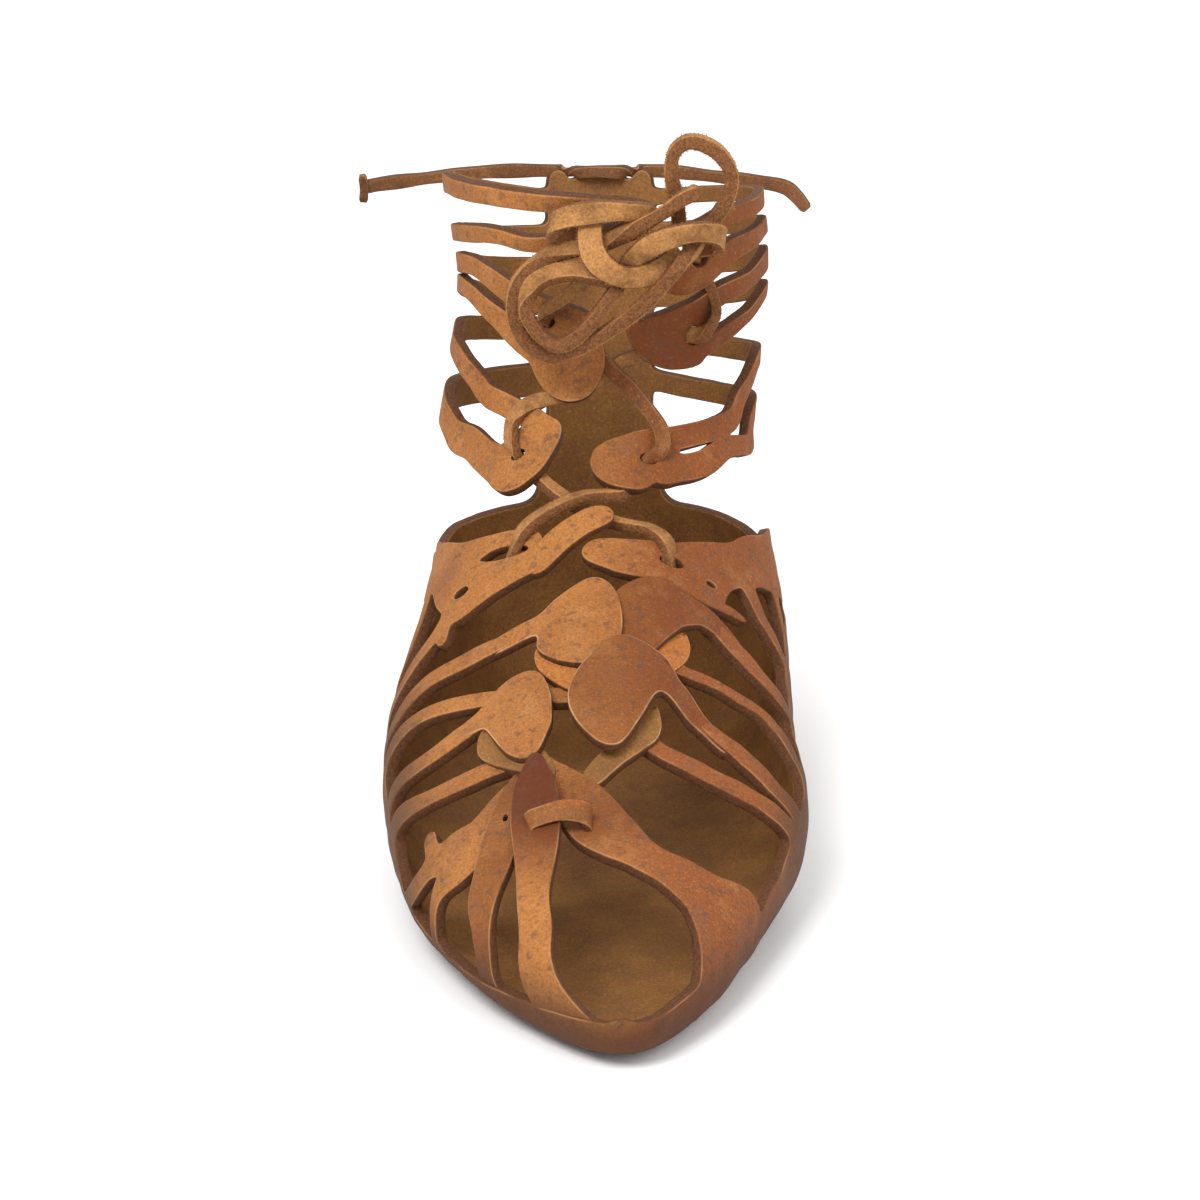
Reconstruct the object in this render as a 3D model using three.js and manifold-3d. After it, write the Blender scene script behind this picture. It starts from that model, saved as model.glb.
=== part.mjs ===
// Open strap sandal cut from one hide, wearer's right shoe, millimetres, +Z up.
// The toe points to -Y, the big toe side is +X, and the heel rests on the origin.
import * as THREE from 'three';
import Module from 'manifold-3d';

const wasm = await Module();
wasm.setup();
const { Manifold, Mesh: RawMesh } = wasm;

// driving sizes
const FOOT_LENGTH = 268;      // inside of the hide, heel back to toe tip
const BALL_WIDTH = 105;       // inside width across the ball
const COLLAR_HEIGHT = 172;    // front of the ankle, top of the form
const HIDE = 3;               // thickness of the leather
const TOE_SPRING = 4;         // lift of the sole under the toe tip
const ARCH_LIFT = 1.5;        // lift of the sole under the waist
const TOE_WALL = 11;          // height of the turned-up edge at the toe
const BALL_WALL = 26;         // height of the uncut side at the ball
const HEEL_WALL = 62;         // height of the heel cup
const STAY_WIDTH = 28;        // upright piece behind the ankle
const STRAP = 5.5;            // common width of a narrow strap
const LACE = 3.4;             // thickness of the lace
const BOW_REACH = 30;         // how far the lower loop of the bow goes to the side of its knot
const BOW_RISE = 33;          // how far the upper loop stands over the knot
const KNOT_WIDE = 7.6, KNOT_TALL = 4.7, KNOT_DEEP = 3;   // turns of the lace round the knot
const BOW_STAND = 9;          // distance of the knot from the foot form
const THONG_WIDTH = 4.6, THONG_THICK = 2.6;
const LATCHET_WIDTH = 5, LATCHET_THICK = 2;
const LATCHET_RISE = 5;       // how high the latchet stands over the strap under it
const GAP = 0.35;             // clear space between separate pieces
const CLEAR = 0.3;            // the same where a piece passes through the hide

// the foot form the hide is wrapped on
// Each section runs from a point on the sole or heel to a point on the crest.
// y values are shares of FOOT_LENGTH, z of COLLAR_HEIGHT, half widths of BALL_WIDTH.
const SECTIONS = [
  { soleY: -0.873, soleZ: 0.035, crestY: -0.873, crestZ: 0.134,
    lateral: 0.133, medial: 0.133, shift: 5, top: 2.0, low: 2.6, mid: 0.45 },
  { soleY: -0.765, soleZ: 0.020, crestY: -0.761, crestZ: 0.174,
    lateral: 0.276, medial: 0.238, shift: 3, top: 2.1, low: 3.0, mid: 0.45 },
  { soleY: -0.642, soleZ: 0.012, crestY: -0.627, crestZ: 0.233,
    lateral: 0.419, medial: 0.371, shift: 1, top: 2.0, low: 3.2, mid: 0.42 },
  { soleY: -0.522, soleZ: 0.012, crestY: -0.485, crestZ: 0.308,
    lateral: 0.486, medial: 0.467, shift: 0.5, top: 1.9, low: 3.2, mid: 0.40 },
  { soleY: -0.392, soleZ: 0.012, crestY: -0.366, crestZ: 0.390,
    lateral: 0.514, medial: 0.448, shift: 1, top: 1.9, low: 3.2, mid: 0.38 },
  { soleY: -0.261, soleZ: 0.012, crestY: -0.269, crestZ: 0.477,
    lateral: 0.486, medial: 0.448, shift: 1, top: 1.9, low: 3.0, mid: 0.38 },
  { soleY: -0.131, soleZ: 0.009, crestY: -0.194, crestZ: 0.564,
    lateral: 0.438, medial: 0.448, shift: 0.5, top: 2.0, low: 3.0, mid: 0.40 },
  { soleY: 0.007, soleZ: 0.006, crestY: -0.160, crestZ: 0.640,
    lateral: 0.410, medial: 0.429, shift: 0, top: 2.1, low: 2.8, mid: 0.45 },
  { soleY: 0.097, soleZ: 0.052, crestY: -0.149, crestZ: 0.703,
    lateral: 0.410, medial: 0.410, shift: 0, top: 2.1, low: 2.4, mid: 0.48 },
  { soleY: 0.116, soleZ: 0.221, crestY: -0.153, crestZ: 0.762,
    lateral: 0.400, medial: 0.381, shift: 0, top: 2.1, low: 2.2, mid: 0.50 },
  { soleY: 0.101, soleZ: 0.436, crestY: -0.164, crestZ: 0.826,
    lateral: 0.371, medial: 0.390, shift: 0, top: 2.1, low: 2.1, mid: 0.50 },
  { soleY: 0.104, soleZ: 0.669, crestY: -0.183, crestZ: 0.901,
    lateral: 0.343, medial: 0.410, shift: 0, top: 2.1, low: 2.1, mid: 0.50 },
  { soleY: 0.123, soleZ: 0.919, crestY: -0.209, crestZ: 1.000,
    lateral: 0.381, medial: 0.390, shift: 0, top: 2.1, low: 2.1, mid: 0.50 },
  { soleY: 0.142, soleZ: 1.169, crestY: -0.235, crestZ: 1.099,
    lateral: 0.410, medial: 0.380, shift: 0, top: 2.1, low: 2.1, mid: 0.50 },
].map((r) => [
  r.soleY * FOOT_LENGTH, r.soleZ * COLLAR_HEIGHT, r.crestY * FOOT_LENGTH, r.crestZ * COLLAR_HEIGHT,
  r.lateral * BALL_WIDTH, r.medial * BALL_WIDTH, r.shift, r.top, r.low, r.mid,
]);
const LAST_ROW = SECTIONS.length - 1;
const TOE_Y = -0.873 * FOOT_LENGTH;
const NOSE_WIDE = 36, NOSE_HIGH = 17, NOSE_Z = 12;   // how the toe rounds off in plan and in height

const clamp = (x, a, b) => Math.min(b, Math.max(a, x));
const smooth = (x) => { const t = clamp(x, 0, 1); return t * t * (3 - 2 * t); };

function sectionAt(u) {
  const i = clamp(Math.floor(u), 0, LAST_ROW - 1), t = u - i;
  return SECTIONS[0].map((_, k) => {
    const p1 = SECTIONS[i][k], p2 = SECTIONS[i + 1][k];
    const p0 = i > 0 ? SECTIONS[i - 1][k] : 2 * p1 - p2;
    const p3 = i < LAST_ROW - 1 ? SECTIONS[i + 2][k] : 2 * p2 - p1;
    return p1 + 0.5 * t * ((p2 - p0) + t * ((2 * p0 - 5 * p1 + 4 * p2 - p3) + t * (3 * (p1 - p2) + p3 - p0)));
  });
}
function soleLift(y) {
  const toe = clamp((-190 - y) / 44, 0, 1);
  const arch = clamp((y + 125) / 35, 0, 1) * clamp((-15 - y) / 35, 0, 1);
  return TOE_SPRING * toe * toe + ARCH_LIFT * smooth(arch);
}
function rawPoint(u, v) {
  let [sy, sz, cy, cz, wl, wm, xc, nt, nb, c] = sectionAt(u);
  const d = Math.max(0, Math.min(sy, cy) - TOE_Y);
  const nose = (a) => Math.sqrt(Math.max(0, 1 - (1 - clamp(d / a, 0, 1)) ** 2));
  const nw = nose(NOSE_WIDE), nh = nose(NOSE_HIGH);
  if (u < 3) { sz = NOSE_Z + (sz - NOSE_Z) * nh; cz = NOSE_Z + (cz - NOSE_Z) * nh; }
  wl *= nw; wm *= nw;
  let ey = cy - sy, ez = cz - sz;
  const h = Math.hypot(ey, ez) + 1e-9;
  ey /= h; ez /= h;
  const sn = Math.sin(v * Math.PI), cs = Math.cos(v * Math.PI);
  const n = nb + (nt - nb) * smooth(cs * 0.75 + 0.5);
  const w = (sn < 0 ? wl : wm) + 1e-9, up = (cs > 0 ? (1 - c) : c) * h + 1e-9;
  const rad = (Math.abs(sn / w) ** n + Math.abs(cs / up) ** n) ** (-1 / n);
  const a = rad * cs + c * h;
  return new THREE.Vector3(xc + rad * sn, sy + ey * a, sz + ez * a);
}
function formNormal(u, v) {
  const e = 1e-3, a = clamp(u, 2e-2, LAST_ROW - 2e-2);
  const du = rawPoint(a + e, v).sub(rawPoint(a - e, v));
  const dv = rawPoint(a, v + e).sub(rawPoint(a, v - e));
  return dv.cross(du).normalize();
}
const SIDE = formNormal(5, 0).z > 0 ? 1 : -1;
function onForm(u, v, lift = 0) {
  const p = rawPoint(u, v).addScaledVector(formNormal(u, v), SIDE * lift);
  p.z = Math.max(p.z, HIDE - lift + soleLift(p.y));
  return p;
}

// small mesh helpers
function toSolid(points, faces) {
  const vertProperties = new Float32Array(points.flatMap((p) => [p.x, p.y, p.z]));
  const m = new RawMesh({ numProp: 3, vertProperties, triVerts: new Uint32Array(faces.flat()) });
  m.merge();
  const s = new Manifold(m);
  if (s.volume() >= 0) return s;
  const turned = new Uint32Array(faces.flatMap(([a, b, c]) => [a, c, b]));
  const f = new RawMesh({ numProp: 3, vertProperties, triVerts: turned });
  f.merge();
  return new Manifold(f);
}
// rings of equal length joined into a closed body with flat ends
function loft(rings) {
  const n = rings[0].length, pts = rings.flat(), tris = [];
  for (let i = 0; i + 1 < rings.length; i++) for (let j = 0; j < n; j++) {
    const a = i * n + j, b = i * n + (j + 1) % n;
    tris.push([a, b, b + n], [a, b + n, a + n]);
  }
  const first = pts.push(rings[0].reduce((s, p) => s.add(p), new THREE.Vector3()).divideScalar(n)) - 1;
  const end = rings.length - 1;
  const last = pts.push(rings[end].reduce((s, p) => s.add(p), new THREE.Vector3()).divideScalar(n)) - 1;
  for (let j = 0; j < n; j++) {
    tris.push([first, (j + 1) % n, j], [last, end * n + j, end * n + (j + 1) % n]);
  }
  return toSolid(pts, tris);
}
function spline(rows, step, sizeOf) {
  const out = [];
  for (let i = 0; i + 1 < rows.length; i++) {
    const p1 = rows[i], p2 = rows[i + 1];
    const p0 = i ? rows[i - 1] : p1.map((x, k) => 2 * x - p2[k]);
    const p3 = i + 2 < rows.length ? rows[i + 2] : p2.map((x, k) => 2 * x - p1[k]);
    const n = Math.max(1, Math.round(sizeOf(p1, p2) / step));
    for (let j = 0; j < n; j++) {
      const t = j / n;
      out.push(p1.map((_, k) => {
        const bend = 2 * p0[k] - 5 * p1[k] + 4 * p2[k] - p3[k];
        return p1[k] + 0.5 * t * ((p2[k] - p0[k]) + t * (bend + t * (3 * (p1[k] - p2[k]) + p3[k] - p0[k])));
      }));
    }
  }
  out.push(rows[rows.length - 1]);
  return out;
}
const span = (a, b) => Math.hypot(a[0] - b[0], a[1] - b[1], a[2] - b[2]);
// a strap laid on the form: rows of [u, v, width, lift]
function strap(rows, { cols = 3, step = 9, thick = HIDE } = {}) {
  const far = (a, b) => onForm(a[0], a[1]).distanceTo(onForm(b[0], b[1]));
  const line = spline(rows.map((r) => [r[0], r[1], r[2], r[3] ?? 0.25]), step, far);
  const rings = line.map((r, i) => {
    const a = line[Math.max(0, i - 1)], b = line[Math.min(line.length - 1, i + 1)];
    const [u, v, w, lift] = r, e = 1e-3;
    const pu = onForm(u + e, v).sub(onForm(u - e, v)).divideScalar(2 * e);
    const pv = onForm(u, v + e).sub(onForm(u, v - e)).divideScalar(2 * e);
    const along = pu.clone().multiplyScalar(b[0] - a[0]).addScaledVector(pv, b[1] - a[1]).normalize();
    const across = formNormal(u, v).multiplyScalar(SIDE).cross(along).normalize();
    const uu = pu.dot(pu), vv = pv.dot(pv), uv = pu.dot(pv), bu = pu.dot(across), bv = pv.dot(across);
    const det = uu * vv - uv * uv, du = (bu * vv - bv * uv) / det, dv = (bv * uu - bu * uv) / det;
    const place = (k, l) => {
      const s = (k / (cols - 1) - 0.5) * Math.max(w, 0.6);
      return onForm(clamp(u + du * s, 0.02, LAST_ROW - 0.02), v + dv * s, l);
    };
    const ring = [];
    for (let k = 0; k < cols; k++) ring.push(place(k, lift + thick));
    for (let k = cols - 1; k >= 0; k--) ring.push(place(k, lift));
    return ring;
  });
  return loft(rings);
}
// a hole cut square to the form; wide and tall are full sizes, turn is measured from +X
function hole(u, v, wide, tall = wide, turn = 0, depth = 9, sides = 10) {
  const n = formNormal(u, v).multiplyScalar(SIDE), c = onForm(u, v, HIDE / 2);
  const x = new THREE.Vector3(1, 0, 0).addScaledVector(n, -n.x).normalize(), y = n.clone().cross(x);
  const ring = (l) => Array.from({ length: sides }, (_, i) => {
    const t = i / sides * 2 * Math.PI, a = Math.cos(t) * wide / 2, b = Math.sin(t) * tall / 2;
    const ca = Math.cos(turn), sa = Math.sin(turn);
    const sideways = a * ca - b * sa, upward = a * sa + b * ca;
    return c.clone().addScaledVector(n, l).addScaledVector(x, sideways).addScaledVector(y, upward);
  });
  return loft([ring(-depth), ring(depth)]);
}
// a round cord through points, eight sides
function cord(points, thick = LACE, step = 5, sides = 8) {
  const line = spline(points.map((p) => [p.x, p.y, p.z]), step, span).map((p) => new THREE.Vector3(...p));
  let side = null;
  return loft(line.map((p, i) => {
    const t = line[Math.min(line.length - 1, i + 1)].clone().sub(line[Math.max(0, i - 1)]).normalize();
    if (!side) side = Math.abs(t.z) < 0.9 ? new THREE.Vector3(0, 0, 1) : new THREE.Vector3(1, 0, 0);
    side = side.clone().addScaledVector(t, -side.dot(t)).normalize();
    const up = t.clone().cross(side);
    return Array.from({ length: sides }, (_, k) => {
      const a = (k + 0.5) / sides * 2 * Math.PI;
      const spoke = side.clone().multiplyScalar(Math.cos(a)).addScaledVector(up, Math.sin(a));
      return spoke.multiplyScalar(thick / 2).add(p);
    });
  }));
}

// sole, turned-up edge, heel cup and back stay
function formBody(lift) {
  const around = 30, us = [];
  for (let u = 0.02; u < LAST_ROW - 0.5; u += u < 0.6 ? 0.1 : u < 2 ? 0.28 : 0.42) us.push(u);
  us.push(LAST_ROW - 0.5);
  const share = (k) => -1 + 2 * (k + 0.5) / around;
  return loft(us.map((u) => Array.from({ length: around }, (_, k) => onForm(u, share(k), lift))));
}
// height of the uncut leather edge, from the toe to the heel: y, lateral side, medial side
const EDGE = [
  { y: -250, lateral: TOE_WALL, medial: TOE_WALL },
  { y: -222, lateral: TOE_WALL, medial: TOE_WALL + 5 },
  { y: -205, lateral: TOE_WALL, medial: BALL_WALL - 2 },
  { y: -182, lateral: TOE_WALL, medial: BALL_WALL - 6 },
  { y: -165, lateral: TOE_WALL + 3, medial: BALL_WALL - 2 },
  { y: -145, lateral: BALL_WALL - 2, medial: BALL_WALL + 2 },
  { y: -110, lateral: BALL_WALL + 5, medial: BALL_WALL + 10 },
  { y: -75, lateral: BALL_WALL + 13, medial: BALL_WALL + 20 },
  { y: -35, lateral: BALL_WALL + 24, medial: BALL_WALL + 27 },
  { y: 0, lateral: HEEL_WALL - 6, medial: HEEL_WALL - 5 },
  { y: 60, lateral: HEEL_WALL, medial: HEEL_WALL },
];
function sidePrism(side) {
  const far = side === 'lateral' ? -90 : 90;
  const rim = EDGE.map((r) => [r.y, r[side]]);
  const corners = [...rim, [60, -20], [-250, -20]];
  const ring = (x) => corners.map(([y, z]) => new THREE.Vector3(x, y, z));
  const n = corners.length, pts = [...ring(0), ...ring(far)], tris = [];
  for (let i = 0; i < n; i++) {
    const j = (i + 1) % n;
    tris.push([i, j, j + n], [i, j + n, i + n]);
  }
  const shape = ring(0).map((p) => new THREE.Vector2(p.y, p.z));
  for (const [a, b, c] of THREE.ShapeUtils.triangulateShape(shape, [])) {
    tris.push([a, b, c], [a + n, c + n, b + n]);
  }
  return toSolid(pts, tris);
}
const shell = formBody(HIDE).subtract(formBody(0));
const cup = shell.intersect(sidePrism('lateral').add(sidePrism('medial')));
const STAY = [[9.4, 1, STAY_WIDTH + 8], [10.4, 1, STAY_WIDTH], [11.6, 1, STAY_WIDTH], [12.04, 1, STAY_WIDTH]];
const stay = strap(STAY, { cols: 5, step: 14 });

// straps: station, share of the half girth, width, lift
const ANKLE = {
  lateral1: [
    [11.75, -0.96, STRAP], [11.86, -0.70, STRAP], [11.95, -0.48, STRAP], [11.82, -0.25, STRAP],
    [11.70, -0.13, STRAP], [11.60, 0.02, STRAP], [11.55, 0.09, 4],
  ],
  lateral2: [
    [11.54, -0.96, 4.8], [11.50, -0.70, 4.8], [11.46, -0.48, 4.8], [11.26, -0.24, 4.8],
    [11.00, -0.12, 4.8], [11.05, 0.00, 6], [11.30, 0.07, 8],
  ],
  lateral3: [
    [11.32, -0.96, STRAP], [11.28, -0.70, STRAP], [11.20, -0.47, STRAP], [10.95, -0.32, STRAP],
    [10.60, -0.23, STRAP], [10.18, -0.16, 5.8], [9.50, -0.085, 6.5], [8.90, -0.03, 9],
  ],
  lateral4: [
    [11.10, -0.96, STRAP], [11.02, -0.70, STRAP], [10.90, -0.47, 5], [10.58, -0.33, 4.8],
    [10.10, -0.24, 5], [9.50, -0.165, 5.8], [8.66, -0.10, 7], [7.90, -0.05, 9],
  ],
  tab34: [
    [9.10, -0.055, 8, 0.5], [8.60, -0.035, 15, 0.5], [7.90, -0.025, 15, 0.5], [7.30, -0.022, 10, 0.5],
    [7.00, -0.024, 4, 0.5],
  ],
  lateral5: [
    [10.86, -0.96, 6.6], [10.70, -0.72, 6.6], [10.35, -0.50, 6.6], [9.60, -0.32, 6.6],
    [8.70, -0.21, 6.6], [7.75, -0.147, 6.6], [7.05, -0.112, 6.6], [6.75, -0.10, 5],
  ],
  lateral6: [
    [10.60, -0.96, 9.5], [10.25, -0.72, 9.5], [9.65, -0.50, 9.5], [8.70, -0.33, 9.5],
    [7.60, -0.225, 9.5], [6.72, -0.178, 9.5], [6.15, -0.145, 11], [6.10, -0.105, 13], [6.55, -0.072, 11],
    [6.95, -0.066, 5],
  ],
  medial1: [
    [11.75, 0.96, 4.5], [11.78, 0.70, 4.5], [11.74, 0.48, 4.5], [11.50, 0.27, 5.2], [11.28, 0.20, 5.5],
    [11.10, 0.15, 5],
  ],
  medial2: [
    [11.54, 0.96, 4.5], [11.54, 0.70, 4.5], [11.48, 0.48, 4.5], [11.16, 0.31, 6], [10.84, 0.24, 8],
    [10.50, 0.185, 10], [10.35, 0.14, 10], [10.30, 0.10, 5],
  ],
  medial3: [
    [11.32, 0.96, 6], [11.28, 0.70, 6], [11.16, 0.47, 6], [10.68, 0.325, 6], [10.18, 0.225, 7],
    [9.50, 0.145, 8.5], [9.05, 0.09, 12], [8.90, 0.055, 9], [8.88, 0.035, 4],
  ],
  medial4: [
    [11.10, 0.96, 4.5], [11.02, 0.70, 4.5], [10.86, 0.48, 4.2], [10.26, 0.345, 4.4], [9.62, 0.235, 5.4],
    [9.00, 0.16, 6.5], [8.50, 0.11, 7],
  ],
  medial5: [
    [10.86, 0.96, 6], [10.62, 0.72, 6], [10.15, 0.50, 6], [9.50, 0.38, 6], [8.50, 0.25, 6],
    [7.05, 0.16, 6.4], [6.30, 0.10, 7], [6.10, 0.06, 6],
  ],
  medial6: [
    [10.60, 0.96, 6], [10.20, 0.72, 6], [9.55, 0.50, 6], [8.60, 0.34, 6], [7.20, 0.21, 6],
    [6.25, 0.15, 7.5], [5.75, 0.09, 10], [5.72, 0.03, 10], [5.75, -0.01, 5],
  ],
};
const FOOT = {
  bandLateral: [
    [7.3, -0.56, 15], [6.6, -0.44, 15], [5.75, -0.33, 15], [5.20, -0.265, 15.5], [4.90, -0.20, 14.5],
    [4.80, -0.135, 10], [4.95, -0.06, 6.5, 0.9], [5.06, -0.01, 4.5, 1.8], [5.09, 0.012, 3, 1.8],
  ],
  bandMedial: [
    [7.3, 0.56, 17], [6.5, 0.43, 17], [5.65, 0.30, 17], [5.00, 0.21, 17], [4.72, 0.14, 14],
    [4.64, 0.07, 9.5], [4.60, 0.00, 6.5], [4.62, -0.035, 3],
  ],
  strip1: [[5.45, -0.33, 4], [4.95, -0.36, 2.6], [4.70, -0.41, 2.6], [4.60, -0.47, 3.5]],
  strip2: [[4.75, -0.27, 5], [4.44, -0.32, 5], [4.32, -0.37, 5], [4.20, -0.43, 5], [4.15, -0.50, 6]],
  knobLateral: [[4.85, -0.28, 4], [4.55, -0.29, 4], [4.36, -0.295, 3]],
  strip3: [[5.15, 0.26, 7], [4.88, 0.32, 5.4], [4.80, 0.38, 4.4], [4.78, 0.46, 5]],
  strip4: [[6.0, 0.32, 4.5], [5.55, 0.37, 4.4], [5.30, 0.44, 4.4], [5.20, 0.50, 5]],
  knobMedial: [[4.90, 0.225, 5], [4.60, 0.222, 4], [4.50, 0.25, 4], [4.52, 0.275, 3]],
  leg3: [
    [3.80, -0.50, 6], [3.82, -0.42, 6], [3.86, -0.36, 6], [3.80, -0.29, 6], [3.80, -0.225, 6],
    [3.82, -0.15, 6.5], [3.85, -0.11, 9],
  ],
  leafA: [
    [3.68, -0.125, 8, 0.9], [3.70, -0.09, 15, 0.9], [3.80, -0.05, 18, 0.9], [3.92, -0.01, 17, 0.9],
    [4.05, 0.02, 11, 0.9], [4.12, 0.035, 5, 0.9],
  ],
  foldA: [[3.62, -0.13, 4], [3.40, -0.115, 7], [3.25, -0.075, 7], [3.20, -0.04, 5]],
  leg4: [
    [3.55, -0.50, 6], [3.54, -0.43, 6], [3.48, -0.38, 5.4], [3.38, -0.325, 5.4], [3.26, -0.25, 6],
    [3.10, -0.19, 9],
  ],
  leg5: [
    [3.08, -0.51, 6], [3.02, -0.45, 6], [2.90, -0.38, 6], [2.98, -0.315, 6], [3.06, -0.26, 7],
    [3.05, -0.21, 8],
  ],
  leafD: [
    [2.98, -0.25, 10, 1.4], [2.96, -0.215, 16, 1.4], [2.90, -0.175, 18, 1.4], [2.86, -0.14, 14, 1.4],
    [2.85, -0.118, 6, 1.4],
  ],
  foldD: [[2.55, -0.27, 7], [2.60, -0.23, 7], [2.75, -0.19, 8]],
  leg6: [
    [2.80, -0.53, 7], [2.72, -0.47, 7], [2.50, -0.40, 6], [2.46, -0.345, 6], [2.48, -0.28, 6],
    [2.46, -0.215, 5.5], [2.40, -0.17, 5],
  ],
  bridge: [[3.06, -0.12, 6, 0.6], [3.04, -0.06, 6, 0.6]],
  leafB: [
    [4.10, 0.16, 8, 0.6], [4.08, 0.13, 15, 0.6], [4.02, 0.095, 18, 0.6], [3.96, 0.06, 15, 0.6],
    [3.93, 0.03, 7, 0.6],
  ],
  foldB: [[3.75, 0.12, 6], [3.62, 0.145, 6], [3.50, 0.165, 5]],
  leg7: [
    [4.12, 0.15, 8], [4.12, 0.21, 7.6], [4.05, 0.275, 7.2], [3.98, 0.335, 6.8], [3.98, 0.375, 6],
    [4.02, 0.43, 5.5], [4.02, 0.50, 5.5],
  ],
  leg8: [
    [3.58, 0.13, 5], [3.42, 0.17, 4.2], [3.42, 0.235, 4], [3.42, 0.29, 4.2], [3.42, 0.35, 4.2],
    [3.34, 0.385, 4.2], [3.20, 0.43, 4.2], [3.15, 0.49, 4.5],
  ],
  leafC: [
    [3.10, 0.125, 8, 2.1], [3.08, 0.10, 15, 2.1], [3.04, 0.05, 19, 2.1], [2.98, 0.00, 19, 2.1],
    [2.92, -0.04, 15, 2.1], [2.88, -0.075, 7, 2.1],
  ],
  leg9: [
    [3.14, 0.13, 7, 0.9], [2.98, 0.21, 5.2], [2.86, 0.28, 5.6], [2.74, 0.35, 6], [2.66, 0.40, 5.8],
    [2.68, 0.44, 5.4], [2.70, 0.50, 6],
  ],
  foldC: [
    [2.84, 0.13, 7], [2.66, 0.115, 6.5], [2.46, 0.055, 5.5], [2.28, -0.04, 4.5], [2.22, -0.10, 4.5],
  ],
  leg10: [
    [2.76, 0.11, 5], [2.56, 0.14, 5.6], [2.46, 0.24, 6.2], [2.42, 0.33, 6.2], [2.44, 0.40, 6.2],
    [2.54, 0.46, 6], [2.56, 0.52, 6.5],
  ],
};
const TOE = {
  petal5: [[2.36, -0.56, 5], [2.00, -0.49, 5], [1.86, -0.43, 6], [1.92, -0.37, 7]],
  knob5: [[1.85, -0.40, 4], [2.00, -0.395, 3.6], [2.08, -0.39, 2.6]],
  petal4: [
    [1.70, -0.58, 4.5], [1.66, -0.52, 3.4], [1.66, -0.46, 4.6], [1.68, -0.40, 10.5], [1.86, -0.34, 11.5],
    [2.12, -0.27, 9], [2.28, -0.22, 5],
  ],
  petal3: [
    [0.94, -0.60, 7], [1.02, -0.52, 6.6], [1.14, -0.43, 6.2], [1.40, -0.355, 8.5], [1.74, -0.305, 8],
    [2.08, -0.25, 7.5], [2.28, -0.20, 5],
  ],
  petal1: [
    [0.22, -0.60, 12, 0.25], [0.44, -0.42, 10, 0.5], [0.74, -0.345, 8.5, 1.4], [1.08, -0.305, 7.8, 1.4],
    [1.42, -0.262, 10, 1.4], [1.76, -0.228, 12, 1.4], [2.12, -0.20, 9, 1.4], [2.44, -0.18, 2, 1.4],
  ],
  petal2: [
    [2.40, -0.165, 4], [2.06, -0.09, 13], [1.70, -0.01, 16], [1.42, 0.13, 10], [1.24, 0.27, 11],
    [1.14, 0.38, 15], [1.02, 0.47, 20], [0.86, 0.56, 20],
  ],
};
const straps = [...Object.values(ANKLE), ...Object.values(FOOT), ...Object.values(TOE)].map((rows) => {
  const widest = Math.max(...rows.map((r) => r[2]));
  return strap(rows, { cols: widest > 12 ? 5 : 3, step: widest > 12 ? 7 : 9 });
});

// holes in the straps: place on the form, full sizes, turn
const HOLES = [
  { name: 'lace eye, lateral, low', u: 6.30, v: -0.122, wide: 5.6 },
  { name: 'lace eye, lateral, high', u: 9.20, v: -0.082, wide: 5.6 },
  { name: 'lace eye, medial, low', u: 5.88, v: 0.072, wide: 5.6 },
  { name: 'lace eye, medial, middle', u: 9.22, v: 0.150, wide: 5.6 },
  { name: 'lace eye, medial, high', u: 10.80, v: 0.195, wide: 5.6 },
  { name: 'lace slit, lateral band', u: 4.90, v: -0.180, wide: 13, tall: 5, turn: 0.28 },
  { name: 'lace slit, medial band', u: 4.66, v: 0.118, wide: 7, tall: 4.8 },
  { name: 'punch mark, lateral band', u: 4.80, v: -0.262, wide: 2.4 },
  { name: 'punch mark, medial band', u: 4.64, v: 0.197, wide: 3.2 },
  { name: 'punch mark, toe strap', u: 1.90, v: -0.290, wide: 1.8, tall: 3 },
  { name: 'latchet slit, lateral', u: 1.73, v: -0.266, wide: 4.4, tall: 7.4 },
  { name: 'latchet slit, medial', u: 1.72, v: -0.047, wide: 4.4, tall: 7.6 },
];
const holes = HOLES.map((h) => hole(h.u, h.v, h.wide, h.tall, h.turn));
const uncut = Manifold.union([cup, stay, ...straps]).subtract(Manifold.union(holes)).simplify(0.12);

// separate pieces
const at = (rows) => rows.map(([u, v, lift]) => onForm(u, v, lift));
const OVER = HIDE + 0.25 + LACE / 2 + GAP, UNDER = 0.25 - LACE / 2 - GAP;
const leftRun = at([
  [4.66, -0.215, UNDER - 0.6], [4.82, -0.195, UNDER], [4.92, -0.165, 1.6], [5.06, -0.125, OVER],
  [5.20, -0.07, OVER + 0.6], [5.33, -0.01, 3], [5.44, 0.030, UNDER + 0.2], [5.60, 0.052, UNDER],
  [5.80, 0.068, UNDER + 0.4], [5.94, 0.074, 1.8], [6.10, 0.078, OVER + 0.4], [6.40, 0.076, OVER],
  [6.80, 0.058, 3], [7.20, 0.040, 1], [7.50, 0.020, UNDER - 0.2], [8.30, -0.020, UNDER - 0.2],
  [9.00, -0.070, UNDER], [9.22, -0.082, 1.6], [9.45, -0.082, OVER], [10.10, -0.040, OVER + 2],
  [10.60, 0.00, OVER + 3],
]);
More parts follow.
